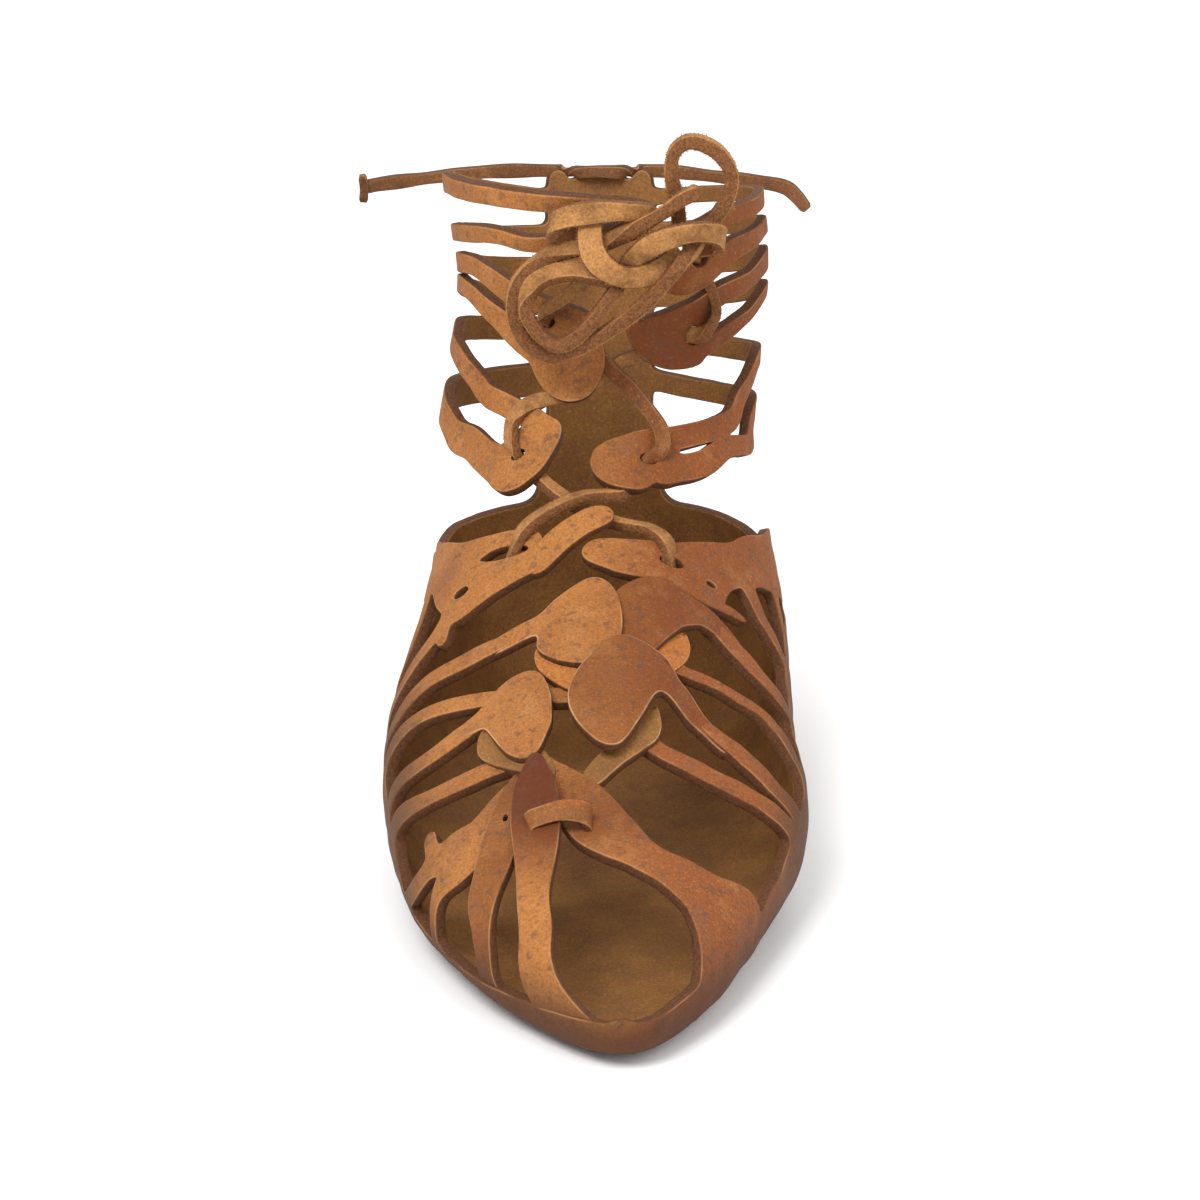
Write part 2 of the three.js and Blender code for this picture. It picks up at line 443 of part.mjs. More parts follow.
const rightRun = at([
  [4.40, 0.14, UNDER - 1], [4.58, 0.125, UNDER], [4.68, 0.116, 1.6], [4.84, 0.098, OVER - 1],
  [4.96, 0.070, 2.6], [5.02, 0.040, -0.6], [5.12, 0.010, UNDER], [5.30, -0.035, UNDER + 0.4],
  [5.60, -0.078, UNDER], [5.90, -0.105, UNDER], [6.16, -0.118, UNDER + 0.2], [6.32, -0.122, 1.8],
  [6.50, -0.120, OVER + 0.4], [6.86, -0.110, OVER], [7.04, -0.088, OVER - 0.6],
  [7.12, -0.060, UNDER + 0.4], [7.20, -0.03, UNDER - 4.2], [7.40, 0.00, UNDER - 5],
  [7.80, 0.03, UNDER - 4.2], [8.30, 0.08, UNDER], [8.96, 0.128, UNDER], [9.20, 0.148, 1.4],
  [9.48, 0.172, OVER + 0.4], [10.00, 0.215, OVER + 1.0], [10.40, 0.210, OVER + 0.6],
  [10.80, 0.16, OVER + 1],
]);
const lace1 = cord(leftRun), lace2 = cord(rightRun);
const BOW = onForm(11.0, 0.045, BOW_STAND);
// a point beside the knot: shares of the bow's reach, of the lace's thickness and of the bow's rise
const near = (x, y, z) => new THREE.Vector3(BOW.x + x * BOW_REACH, BOW.y + y * LACE, BOW.z + z * BOW_RISE);
const KNOT_STEPS = 22, KNOT_TURNS = 2.1;
const knotTurns = cord(Array.from({ length: KNOT_STEPS + 1 }, (_, i) => {
  const t = i / KNOT_STEPS * KNOT_TURNS * 2 * Math.PI;
  const [x, y, z] = [KNOT_WIDE * Math.cos(t), -KNOT_DEEP * Math.sin(t * 1.5), KNOT_TALL * Math.sin(t)];
  return new THREE.Vector3(x, y, z).add(BOW);
}));
const bow = Manifold.union([
  knotTurns,
  cord([
    near(0.22, 0.12, 0.024), near(0.317, -0.88, 0.364), near(0.25, -1.18, 0.758), near(0.467, -0.88, 1),
    near(0.833, 0, 0.818), near(0.8, -0.29, 0.394), near(0.5, -0.59, 0.152), near(0.18, -0.82, 0.1),
  ]),
  cord([
    near(-0.253, 0.88, 0), near(-0.667, 0.29, -0.182), near(-1, 0.88, -0.455), near(-0.933, 0.59, -0.788),
    near(-0.467, 0.29, -0.97), near(-0.1, -0.88, -0.667), near(0.18, -0.82, -0.1),
  ]),
  cord([near(0, -0.62, 0.142), near(0.267, -2.35, 0.273), near(0.633, -1.76, 0.485)]),
]).simplify(0.08);
// the latchet rises through one slit, lies over the toe straps and goes down through the other
const LATCHET = [
  [1.72, -0.275, -0.4, -2.6], [1.74, -0.262, 0, 1.2], [1.75, -0.235, 0, LATCHET_RISE + 0.35],
  [1.74, -0.15, 0, LATCHET_RISE + 0.05], [1.73, -0.075, 0, LATCHET_RISE - 0.25], [1.72, -0.052, 0, 0.4],
  [1.71, -0.040, -0.4, -2.6],
];
function latchetBar(extra) {
  const line = LATCHET.map(([u, v, w, lift]) => [u, v, LATCHET_WIDTH + w + 2 * extra, lift - extra]);
  return strap(line, { step: 4, thick: LATCHET_THICK + 2 * extra });
}
const latchet = latchetBar(0);
// the thong's line: shares of BALL_WIDTH to the side, of FOOT_LENGTH to the back, of COLLAR_HEIGHT up
const THONG = [
  [-0.619, 0.0299, 0.8808], [-0.4952, 0.0821, 0.8866], [-0.381, 0.1045, 0.8924], [-0.2667, 0.1231, 0.8953],
  [-0.181, 0.1325, 0.8953], [-0.1143, 0.1366, 0.8953], [-0.0619, 0.1239, 0.8953], [0, 0.1164, 0.8953],
  [0.0619, 0.1239, 0.8953], [0.1143, 0.1366, 0.8953], [0.181, 0.1343, 0.8953], [0.2857, 0.1231, 0.8953],
  [0.4095, 0.097, 0.8895], [0.4952, 0.0746, 0.8779], [0.5524, 0.0522, 0.8488],
].map(([side, back, high]) => [side * BALL_WIDTH, back * FOOT_LENGTH, high * COLLAR_HEIGHT]);
const CORNERS = [[-1, -1], [1, -1], [1, 1], [-1, 1]];
function thongBar(extra) {
  const line = spline(THONG, 7, span), out = THONG_THICK / 2 + extra, high = THONG_WIDTH / 2 + extra;
  return loft(line.map((p, i) => {
    const a = line[Math.max(0, i - 1)], b = line[Math.min(line.length - 1, i + 1)];
    const along = new THREE.Vector3(b[0] - a[0], b[1] - a[1], 0).normalize();
    const n = new THREE.Vector3(-along.y, along.x, 0);
    return CORNERS.map(([s, t]) => new THREE.Vector3(...p).addScaledVector(n, s * out).setZ(p[2] + t * high));
  }));
}
const thong = thongBar(0);
// each separate piece passes the hide through a slot a little larger than itself
const wide = LACE + 2 * CLEAR;
const ways = [cord(leftRun, wide), cord(rightRun, wide), latchetBar(2 * CLEAR), thongBar(CLEAR)];
const hide = uncut.subtract(Manifold.union(ways));

// assembly
function mesh(name, solid, colour) {
  const m = solid.getMesh(), g = new THREE.BufferGeometry();
  const pos = new Float32Array(m.triVerts.length * 3);
  m.triVerts.forEach((k, i) => {
    for (let c = 0; c < 3; c++) pos[3 * i + c] = m.vertProperties[k * m.numProp + c];
  });
  g.setAttribute('position', new THREE.BufferAttribute(pos, 3));
  g.computeVertexNormals();
  const look = new THREE.MeshStandardMaterial({ color: colour, roughness: 0.7, metalness: 0 });
  const o = new THREE.Mesh(g, look);
  o.name = name;
  return o;
}
const sandal = new THREE.Group();
sandal.name = 'gladiator_sandal';
sandal.add(
  mesh('hide', hide, 0xa8683a),
  mesh('lace_left', lace1, 0x8a5a34),
  mesh('lace_right', lace2, 0x8a5a34),
  mesh('lace_bow', bow, 0x8a5a34),
  mesh('toe_latchet', latchet, 0x9a5c32),
  mesh('rear_thong', thong, 0x94643c),
);
export default sandal;
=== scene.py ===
import math
import bpy
import numpy as np
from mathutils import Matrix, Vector


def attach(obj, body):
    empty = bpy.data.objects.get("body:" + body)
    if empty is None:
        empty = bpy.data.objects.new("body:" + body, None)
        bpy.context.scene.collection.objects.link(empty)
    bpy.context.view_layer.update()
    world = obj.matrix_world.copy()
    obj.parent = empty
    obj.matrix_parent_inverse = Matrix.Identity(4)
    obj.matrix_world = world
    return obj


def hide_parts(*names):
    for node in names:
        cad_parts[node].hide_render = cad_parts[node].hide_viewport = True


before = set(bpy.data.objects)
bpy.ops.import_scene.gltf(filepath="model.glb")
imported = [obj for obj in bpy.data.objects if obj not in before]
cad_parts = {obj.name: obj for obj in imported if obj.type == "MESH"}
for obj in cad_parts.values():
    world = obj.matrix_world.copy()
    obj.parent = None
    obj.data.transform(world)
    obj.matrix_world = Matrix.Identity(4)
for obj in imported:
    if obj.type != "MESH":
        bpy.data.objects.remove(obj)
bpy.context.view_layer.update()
scene = bpy.context.scene

# Camera. It stands about a metre in front of the toe and looks down 18 degrees, as in the photograph,
# with the foot's middle line in the middle of the picture. Sizes in this file are millimetres unless
# they carry another unit, and every mesh is made in metres.
MM = 0.001
CAMERA_DISTANCE, CAMERA_TILT = 1050.0, math.radians(18)
LOOK_AT = (0.0, -90.0, 70.0)
PIXELS_PER_MM, PICTURE = 3.85, 1200
camera_data = bpy.data.cameras.new("camera")
camera = bpy.data.objects.new("camera", camera_data)
scene.collection.objects.link(camera)
camera.location = (LOOK_AT[0] * MM, (LOOK_AT[1] - CAMERA_DISTANCE * math.cos(CAMERA_TILT)) * MM,
                   (LOOK_AT[2] + CAMERA_DISTANCE * math.sin(CAMERA_TILT)) * MM)
camera.rotation_euler = (math.pi / 2 - CAMERA_TILT, 0, 0)
camera_data.sensor_width = 36
camera_data.lens = 36 * PIXELS_PER_MM * CAMERA_DISTANCE / PICTURE
camera_data.shift_y = -8 / PICTURE
camera_data.clip_start = 0.05
scene.camera = camera

# Foot form. The hide and the lace are laid on it, so it comes before both. Each section runs from a
# point on the sole or the heel to a point on the crest; y is a share of the foot's length, z of the
# collar's height and the half widths of the ball's width, as in the CAD source.
FOOT_LENGTH, BALL_WIDTH, COLLAR_HEIGHT = 268.0, 105.0, 172.0
HIDE = 3.0
SECTIONS = np.array([
    # sole y, sole z, crest y, crest z, lateral, medial, shift, top, low, mid
    (-0.873, 0.024, -0.873, 0.134, 0.133, 0.133, 5, 2.0, 2.6, 0.45),
    (-0.765, 0.014, -0.761, 0.174, 0.276, 0.238, 3, 2.1, 3.0, 0.45),
    (-0.642, 0.012, -0.627, 0.233, 0.419, 0.371, 1, 2.0, 3.2, 0.42),
    (-0.522, 0.012, -0.485, 0.308, 0.486, 0.467, 0.5, 1.9, 3.2, 0.40),
    (-0.392, 0.012, -0.366, 0.390, 0.514, 0.448, 1, 1.9, 3.2, 0.38),
    (-0.261, 0.012, -0.269, 0.477, 0.486, 0.448, 1, 1.9, 3.0, 0.38),
    (-0.131, 0.009, -0.194, 0.564, 0.438, 0.448, 0.5, 2.0, 3.0, 0.40),
    (0.007, 0.006, -0.160, 0.640, 0.410, 0.429, 0, 2.1, 2.8, 0.45),
    (0.097, 0.052, -0.149, 0.703, 0.410, 0.410, 0, 2.1, 2.4, 0.48),
    (0.116, 0.221, -0.153, 0.762, 0.400, 0.381, 0, 2.1, 2.2, 0.50),
    (0.101, 0.436, -0.164, 0.826, 0.371, 0.390, 0, 2.1, 2.1, 0.50),
    (0.104, 0.669, -0.183, 0.901, 0.343, 0.410, 0, 2.1, 2.1, 0.50),
    (0.123, 0.919, -0.209, 1.000, 0.381, 0.390, 0, 2.1, 2.1, 0.50),
    (0.142, 1.169, -0.235, 1.099, 0.410, 0.380, 0, 2.1, 2.1, 0.50),
]) * np.array([FOOT_LENGTH, COLLAR_HEIGHT, FOOT_LENGTH, COLLAR_HEIGHT, BALL_WIDTH, BALL_WIDTH, 1, 1, 1, 1])
TOE_Y = SECTIONS[0, 0]
NOSE_WIDE, NOSE_HIGH, NOSE_Z = 36.0, 17.0, 10.0
TOE_SPRING, TOE_LIFT_FROM, TOE_LIFT_RUN = 2.2, -190, 44
ARCH_LIFT, ARCH_FRONT, ARCH_BACK, ARCH_RUN = 1.5, -125, -15, 35
MIDDLE = HIDE / 2                     # half way through the leather


def smooth(x):
    t = np.clip(x, 0, 1)
    return t * t * (3 - 2 * t)


def through(rows, s):
    """Catmull-Rom through rows at s, which counts rows."""
    s = np.asarray(s, float)
    n = len(rows) - 1
    i = np.clip(np.floor(s).astype(int), 0, n - 1)
    t = (s - i)[..., None]
    p1, p2 = rows[i], rows[i + 1]
    p0 = np.where((i > 0)[..., None], rows[np.maximum(i - 1, 0)], 2 * rows[0] - rows[1])
    p3 = np.where((i < n - 1)[..., None], rows[np.minimum(i + 2, n)], 2 * rows[n] - rows[n - 1])
    return p1 + 0.5 * t * ((p2 - p0) + t * ((2 * p0 - 5 * p1 + 4 * p2 - p3) + t * (3 * (p1 - p2) + p3 - p0)))


def sole_lift(y):
    """How far the sole stands off the ground at y: a spring at the toe and a low arch."""
    toe = np.clip((TOE_LIFT_FROM - y) / TOE_LIFT_RUN, 0, 1)
    arch = np.clip((y - ARCH_FRONT) / ARCH_RUN, 0, 1) * np.clip((ARCH_BACK - y) / ARCH_RUN, 0, 1)
    return TOE_SPRING * toe ** 2 + ARCH_LIFT * smooth(arch)


def bare_form(u, v):
    """The form at station u and share v of the half girth, lateral side negative, crest at 0."""
    sy, sz, cy, cz, wl, wm, xc, nt, nb, c = np.moveaxis(through(SECTIONS, u), -1, 0)
    d = np.clip(np.minimum(sy, cy) - TOE_Y, 0, None)
    nw, nh = (np.sqrt(np.clip(1 - (1 - np.clip(d / a, 0, 1)) ** 2, 0, 1)) for a in (NOSE_WIDE, NOSE_HIGH))
    sz = np.where(u < 3, NOSE_Z + (sz - NOSE_Z) * nh, sz)
    cz = np.where(u < 3, NOSE_Z + (cz - NOSE_Z) * nh, cz)
    ey, ez = cy - sy, cz - sz
    h = np.hypot(ey, ez) + 1e-9
    sn, cs = np.sin(v * np.pi), np.cos(v * np.pi)
    n = nb + (nt - nb) * smooth(cs * 0.75 + 0.5)
    w = np.where(sn < 0, wl, wm) * nw + 1e-9
    up = np.where(cs > 0, 1 - c, c) * h + 1e-9
    rad = (np.abs(sn / w) ** n + np.abs(cs / up) ** n) ** (-1 / n)
    a = rad * cs + c * h
    return np.stack([xc + rad * sn, sy + ey / h * a, sz + ez / h * a], -1)


def form_normal(u, v):
    e = 1e-3
    a = np.clip(u, 0.02, len(SECTIONS) - 1.02)
    n = np.cross(bare_form(a, v + e) - bare_form(a, v - e), bare_form(a + e, v) - bare_form(a - e, v))
    return n / (np.linalg.norm(n, axis=-1, keepdims=True) + 1e-12)


def on_form(u, v, lift=0.0):
    """A point at a height over the form; under the foot the leather is flattened on the ground."""
    u, v, lift = np.broadcast_arrays(*(np.asarray(k, float) for k in (u, v, lift)))
    p = bare_form(u, v) + form_normal(u, v) * lift[..., None]
    p[..., 2] = np.maximum(p[..., 2], HIDE - lift + sole_lift(p[..., 1]))
    return p


# Lace. A flat leather thong is swept along each run: flesh side, grain side and cut sides carry an
# attribute for the material. A row is x, y, z and the way the flesh side faces there.
FACES = {"F": (0, -1, 0), "B": (0, 1, 0), "U": (0, 0, 1), "D": (0, 0, -1), "L": (-1, 0, 0), "R": (1, 0, 0)}


def resample(rows, step):
    """Points about step apart on a smooth line through rows, with every other column carried along."""
    rows = np.asarray(rows, float)
    s = np.linspace(0, len(rows) - 1, (len(rows) - 1) * 24 + 1)
    dense = through(rows, s)
    run = np.concatenate([[0], np.cumsum(np.linalg.norm(np.diff(dense[:, :3], axis=0), axis=1))])
    want = np.linspace(0, run[-1], max(3, int(round(run[-1] / step)) + 1))
    return np.stack([np.interp(want, run, dense[:, k]) for k in range(rows.shape[1])], 1), float(run[-1])


def new_object(name, verts, faces, **attributes):
    """A piece of the shoe from points in millimetres, with point attributes for its look."""
    mesh = bpy.data.meshes.new(name)
    mesh.from_pydata([tuple(p) for p in np.asarray(verts) * MM], [], faces)
    for key, values in attributes.items():
        layer = mesh.attributes.new(key, "FLOAT", "POINT")
        layer.data.foreach_set("value", np.asarray(values, np.float32))
    mesh.polygons.foreach_set("use_smooth", [True] * len(mesh.polygons))
    mesh.update()
    obj = bpy.data.objects.new(name, mesh)
    scene.collection.objects.link(obj)
    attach(obj, "root")
    return obj


def thong(name, rows, wide, thick, step=0.9, wobble=0.12, seed=1.0):
    """A flat thong swept along rows, with its path and its length; seed shifts its unevenness."""
    table = np.array([[*r[:3], *np.sum([FACES[k] for k in r[3]], axis=0)] for r in rows], float)
    line, length = resample(table, step)
    p, hint = line[:, :3], line[:, 3:6]
    t = np.gradient(p, axis=0)
    t /= np.linalg.norm(t, axis=1, keepdims=True)
    n = hint - t * np.sum(hint * t, axis=1, keepdims=True)
    n /= np.linalg.norm(n, axis=1, keepdims=True)
    for _ in range(4):
        n[1:-1] = n[:-2] + n[1:-1] * 2 + n[2:]
        n -= t * np.sum(n * t, axis=1, keepdims=True)
        n /= np.linalg.norm(n, axis=1, keepdims=True)
    b = np.cross(t, n)
    # rounded rectangle: across, out, how much it is a cut side, how much it is the flesh side
    c = 0.28                          # share of the half width that a corner takes
    d = c * 0.3
    ring = [(-1, 1 - c, 1, 1), (-1 + d, 1 - d, 0.6, 1), (-1 + c, 1, 0, 1), (-0.35, 1, 0, 1), (0.35, 1, 0, 1),
            (1 - c, 1, 0, 1), (1 - d, 1 - d, 0.6, 1), (1, 1 - c, 1, 1), (1, 0, 1, 0.5), (1, -1 + c, 1, 0),
            (1 - d, -1 + d, 0.6, 0), (1 - c, -1, 0, 0), (0.35, -1, 0, 0), (-0.35, -1, 0, 0),
            (-1 + c, -1, 0, 0), (-1 + d, -1 + d, 0.6, 0), (-1, -1 + c, 1, 0), (-1, 0, 1, 0.5)]
    k = np.arange(len(p))
    end = np.clip(np.minimum(k, len(p) - 1 - k), 0, 1) * 0.25 + 0.75
    sway = 0.5 * np.sin(k * 0.31 + seed) + 0.5 * np.sin(k * 0.13 + 2 * seed)
    ww = (wide / 2) * (1 + wobble * sway) * end
    tt = (thick / 2) * (1 + wobble * 0.6 * np.sin(k * 0.23 + 3 * seed)) * end
    verts, cut, flesh = [], [], []
    for a, o, e, f in ring:
        verts.append(p + b * (a * ww)[:, None] + n * (o * tt)[:, None])
        cut.append(np.full(len(p), e))
        flesh.append(np.full(len(p), f))
    m = len(ring)
    verts = np.stack(verts, 1).reshape(-1, 3)
    faces = [(i * m + j, i * m + (j + 1) % m, (i + 1) * m + (j + 1) % m, (i + 1) * m + j)
             for i in range(len(p) - 1) for j in range(m)]
    faces += [tuple(range(m - 1, -1, -1)), tuple((len(p) - 1) * m + j for j in range(m))]
    cut, flesh = np.stack(cut, 1).reshape(-1), np.stack(flesh, 1).reshape(-1)
    obj = new_object(name, verts, faces, cut=cut, flesh=flesh)
    return obj, p, length


FIBRE_HALF, FIBRE_ROOT = 0.08, 0.1    # half a fibre's width, and how deep it is set


def nap(obj, share, length, seed):
    """Loose fibres of the suede side: thin slivers that stand on the surface of obj."""
    mesh = obj.data
    count = len(mesh.vertices)
    places, normals = np.empty(count * 3, np.float32), np.empty(count * 3, np.float32)
    mesh.vertices.foreach_get("co", places)
    mesh.vertex_normals.foreach_get("vector", normals)
    draw = np.random.default_rng(seed)
    pick = draw.integers(0, count, int(count * share))
    root, out = places.reshape(-1, 3)[pick] / MM, normals.reshape(-1, 3)[pick]
    lean = out * 0.7 + draw.normal(0, 0.55, out.shape)
    lean /= np.linalg.norm(lean, axis=1, keepdims=True)
    reach = length * draw.uniform(0.4, 1.0, (len(pick), 1))
    side = np.cross(lean, draw.normal(0, 1, out.shape))
    side *= FIBRE_HALF / np.linalg.norm(side, axis=1, keepdims=True)
    root = root - out * FIBRE_ROOT
    verts = np.stack([root - side, root + side, root + lean * reach], 1).reshape(-1, 3)
    faces = [(k, k + 1, k + 2) for k in range(0, len(verts), 3)]
    return new_object(obj.name + "_nap", verts, faces, cut=np.zeros(len(verts)), flesh=np.ones(len(verts)))


def along_form(rows):
    """Rows of station, share of half girth, height over the form and facing, as x, y, z and facing."""
    return [(*on_form(r[0], r[1], r[2]), r[3]) for r in rows]


# The leather of every piece: a fine grain face, a fuzzy ochre flesh face and burnished dark cut edges
# with a pale rim. Its patterns are in Object coordinates, so neighbouring pieces match.
def feed(node, sockets):
    """Sets a node's sockets to numbers and colours, or links them to wires."""
    for key, value in sockets.items():
        if isinstance(value, Wire):
            node.id_data.links.new(value.socket, node.inputs[key])
        else:
            node.inputs[key].default_value = value


class Wire:
    """A value in a look's node tree; sums and products of it add Math nodes."""

    def __init__(self, tree, socket=None):
        self.tree, self.socket = tree, socket

    def node(self, kind, out, settings, sockets):
        """A new node with its settings and then its sockets, as the wire that leaves at out."""
        made = self.tree.nodes.new("ShaderNode" + kind)
        for key, value in settings.items():
            setattr(made, key, value)
        feed(made, sockets)
        return Wire(self.tree, made.outputs[out])

    def __add__(self, other):
        return self.node("Math", 0, {"operation": "ADD"}, {0: self, 1: other})

    def __mul__(self, other):
        return self.node("Math", 0, {"operation": "MULTIPLY"}, {0: self, 1: other})

    __radd__, __rmul__ = __add__, __mul__

    def __abs__(self):
        return self.node("Math", 0, {"operation": "ABSOLUTE"}, {0: self})

    def between(self, low, high):
        """0 at low and 1 at high, with a soft start and end."""
        return self.node("MapRange", "Result", {"interpolation_type": "SMOOTHSTEP"},
                         {"Value": self, "From Min": low, "From Max": high})


def srgb(*levels):
    """A colour of three levels from 0 to 255, as linear light."""
    shares = [level / 255 for level in levels]
    return (*(c / 12.92 if c <= 0.04045 else ((c + 0.055) / 1.055) ** 2.4 for c in shares), 1)


def leather(name, tan, deep, red, flesh_tone, edge_tone, edge_deep=srgb(72, 45, 30)):
    """A leather's look; its shades, cut edges, flesh side and pale rims come from point attributes."""
    look = bpy.data.materials.new(name)
    look.use_nodes = True
    tree = Wire(look.node_tree)
    spot = tree.node("TexCoord", "Object", {}, {})

    def noise(scale, detail=3.0, rough=0.55):
        return tree.node("TexNoise", "Fac", {},
                         {"Vector": spot, "Scale": scale, "Detail": detail, "Roughness": rough})

    def attribute(key):
        return tree.node("Attribute", "Fac", {"attribute_name": key}, {})

    def mix(share, a, b):
        return tree.node("Mix", 2, {"data_type": "RGBA"}, {"Factor": share, 6: a, 7: b})

    x, z = (tree.node("SeparateXYZ", axis, {}, {"Vector": spot}) for axis in "XZ")
    broad, middle, fine = noise(26), noise(95, 5, 0.6), noise(420, 5, 0.65)
    dots, fuzz = noise(330, 3, 0.6), noise(1400, 4, 0.75)
    shade, rim = attribute("dark"), attribute("cut")
    # grain side: broad patches, redder to the medial side, shaded places, grey specks and fine pores
    grain = mix(broad.between(0.36, 0.66), tan, deep)
    grain = mix(0.75 * x.between(-0.006, 0.022), grain, red)
    grain = mix(shade, grain, srgb(84, 34, 12))
    grain = mix(0.38 * middle.between(0.52, 0.74), grain, srgb(100, 76, 62))
    grain = mix(middle.between(0.48, 0.30) * (0.28 + -0.25 * shade), grain, srgb(178, 128, 80))
    grain = mix(0.5 * dots.between(0.54, 0.68), grain, srgb(82, 60, 50))
    grain = mix(0.5 * fuzz.between(0.44, 0.66), grain, srgb(92, 58, 34))
    grain = mix(fuzz.between(0.46, 0.28) * (0.42 + -0.36 * shade), grain, srgb(190, 134, 78))
    # painted shade: darker along the ground and on the low sides, where the walls turn away from the light
    grain = mix(0.85 * z.between(0.025, 0.008), grain, srgb(70, 42, 28))
    # painted shade on the low sides, set by distance from the middle line and by height
    side = abs(x).between(0.036, 0.052) * z.between(0.058, 0.034)
    grain = mix(0.85 * side, grain, srgb(80, 56, 41))
    flesh = mix(middle.between(0.35, 0.7), flesh_tone, srgb(126, 86, 50))
    flesh = mix(0.5 * fuzz.between(0.40, 0.66), flesh, srgb(92, 60, 36))
    flesh = mix(0.5 * fuzz.between(0.44, 0.24), flesh, srgb(190, 142, 88))
    edge = mix(fuzz.between(0.35, 0.65), edge_tone, edge_deep)
    body = mix(attribute("flesh").between(0.45, 0.55), grain, flesh)
    body = mix(rim.between(0.6, 0.95), body, edge)
    # painted highlight in patches along the line between face and cut edge, where the rounded edge turns to
    # the light; on the pieces marked pale it is also worn pale
    lit = rim.between(0.12, 0.4) * rim.between(0.8, 0.5)
    body = mix(0.35 * (lit * noise(60).between(0.42, 0.62)), body, srgb(184, 142, 98))
    # painted highlight and wear on the rims of the pieces marked pale
    rim_highlight_and_wear = lit * attribute("pale") * noise(110).between(0.38, 0.62)
    body = mix(0.32 * rim_highlight_and_wear, body, srgb(214, 180, 138))
    relief = 0.5 * fine + 0.35 * fuzz + 0.4 * middle
    raised_grain = tree.node("Bump", "Normal", {}, {"Strength": 0.8, "Distance": 0.0007, "Height": relief})
    feed(look.node_tree.nodes["Principled BSDF"],
         {"Base Color": body, "Roughness": 0.6 + 0.2 * fine, "Specular IOR Level": 0.14,
          "Normal": raised_grain})
    return look


# Bow. Two nested low loops, one tall loop and one free end leave the knot; each is a thong of its own.
# Their points were read off the photograph, at a depth chosen for what passes in front of what.
BOW_TALL = [(21, -56.5, 156, "L"), (20.5, -58, 162, "L"), (19.5, -58.5, 168.3, "L"),
            (18.4, -59, 174.5, "L"), (19.4, -59.5, 180, "LU"), (23.2, -60, 182.6, "U"),
            (28.4, -60, 181.2, "UR"), (32.3, -60, 177.7, "R"), (34.2, -60, 173, "R"),
            (33.2, -60, 167.7, "R"), (30.1, -60, 162.7, "RD"), (26, -60, 158.2, "RD"),
            (22, -58.5, 155, "RD")]
BOW_OUTER = [(-2, -57, 154.5, "F"), (-11, -58, 152.8, "FU"), (-17, -58, 149.7, "UL"),
             (-21.2, -57.5, 144.9, "L"), (-22.8, -56.5, 138.4, "L"), (-21.8, -55.5, 132, "L"),
             (-18.5, -54.8, 126.8, "LD"), (-13.2, -55, 124.6, "D"), (-7.4, -56.5, 126, "D"),
             (-0.8, -58.5, 129.8, "DR"), (7.1, -61, 136, "DR"), (13.6, -64, 142.4, "RD"),
             (18.7, -66, 149, "R"), (22.6, -65.5, 153.5, "R"), (26, -62, 157.5, "R")]
BOW_INNER = [(6, -59, 145.6, "FU"), (0.5, -59.5, 147, "FU"), (-7.3, -59.5, 148, "FU"),
             (-14.6, -59.5, 146.7, "FU"), (-18.4, -59, 143, "FL"), (-19.6, -58.5, 138.1, "L"),
             (-17.8, -58, 133.2, "LD"), (-14.3, -57.8, 129.4, "D"), (-10.5, -58, 128, "D"),
             (-6, -58.5, 130.4, "DR"), (-2.1, -59.3, 134.8, "R"), (1.8, -59.8, 140, "R"),
             (5.2, -59.5, 144.2, "R")]
LACE_END = [(-1, -56.5, 153.8, "F"), (4.4, -59.5, 157.1, "FU"), (9.6, -61.5, 160, "U"),
            (16.1, -63.5, 164.4, "U"), (21.2, -64.5, 168.4, "U"), (25.6, -64.5, 170.6, "U")]
BOW_THICK, KNOT_THICK = 3.7, 3.0
BOW_NAP = (1.5, 1.3)                  # fibres for each vertex, and the longest fibre
# the lace's cut sides are dark partly as burnished edges and partly as painted shade on the sides of the
# thong
lace_look = leather("lace_leather_look", srgb(122, 72, 38), srgb(106, 62, 33), srgb(112, 64, 34),
                    srgb(178, 127, 74), srgb(130, 85, 49), srgb(90, 56, 33))


def lace_piece(obj, node, fibre_share, fibre_length, seed):
    """Gives a strand of the lace its fibres and its look, and hides the CAD node it stands for; returns the
    fibres.
    """
    fibres = nap(obj, fibre_share, fibre_length, seed)
    for piece in (obj, fibres):
        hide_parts(node)
        piece.data.materials.append(lace_look)
    return fibres


LOOSE = [("bow_tall", BOW_TALL, 4.2, "knot"), ("bow_low_outer", BOW_OUTER, 4.0, "knot"),
         ("bow_low_inner", BOW_INNER, 5.0, "knot"), ("lace_end", LACE_END, 4.0, "bare")]
for name, rows, wide, far_end in LOOSE:
    obj, path, length = thong(name, rows, wide, BOW_THICK, seed=len(name))
    fibres = lace_piece(obj, "lace_bow", *BOW_NAP, len(name))
    path[0] * MM
    length * MM
    [tuple(q) for q in path * MM]

# Knot. Three flattened turns hold the bow: a fold at the left, the wide turn in front and the strand
# over it. They touch only each other and the loops.
KNOT_LEFT = [(14, -57, 162.5, "F"), (10, -58.5, 163.6, "F"), (3, -60.5, 164.4, "F"),
             (-4, -61.5, 164, "F"), (-9, -61.5, 162.8, "FL"), (-11.8, -59.8, 160.3, "L"),
             (-10.2, -57.2, 157.6, "B"), (-5, -56.5, 156.6, "B")]
KNOT_FRONT = [(-2.6, -58.5, 161.5, "FU"), (-2.6, -61.5, 157.5, "F"), (-1.4, -62.8, 153, "F"),
              (2, -63, 149.4, "F"), (7, -62.6, 147.3, "F"), (13, -62, 148, "F"), (17.6, -61, 150, "F"),
              (21, -58.5, 152.5, "F")]
KNOT_RIGHT = [(7, -58.5, 148.6, "F"), (9, -62, 152.4, "F"), (13, -65.5, 156.4, "F"),
              (19.5, -68, 159.6, "F"), (25.8, -68, 160.6, "F"), (30.3, -65.5, 159.4, "FR"),
              (31, -62, 156.4, "R"), (28, -59, 154.5, "B"), (23, -57, 154, "B")]
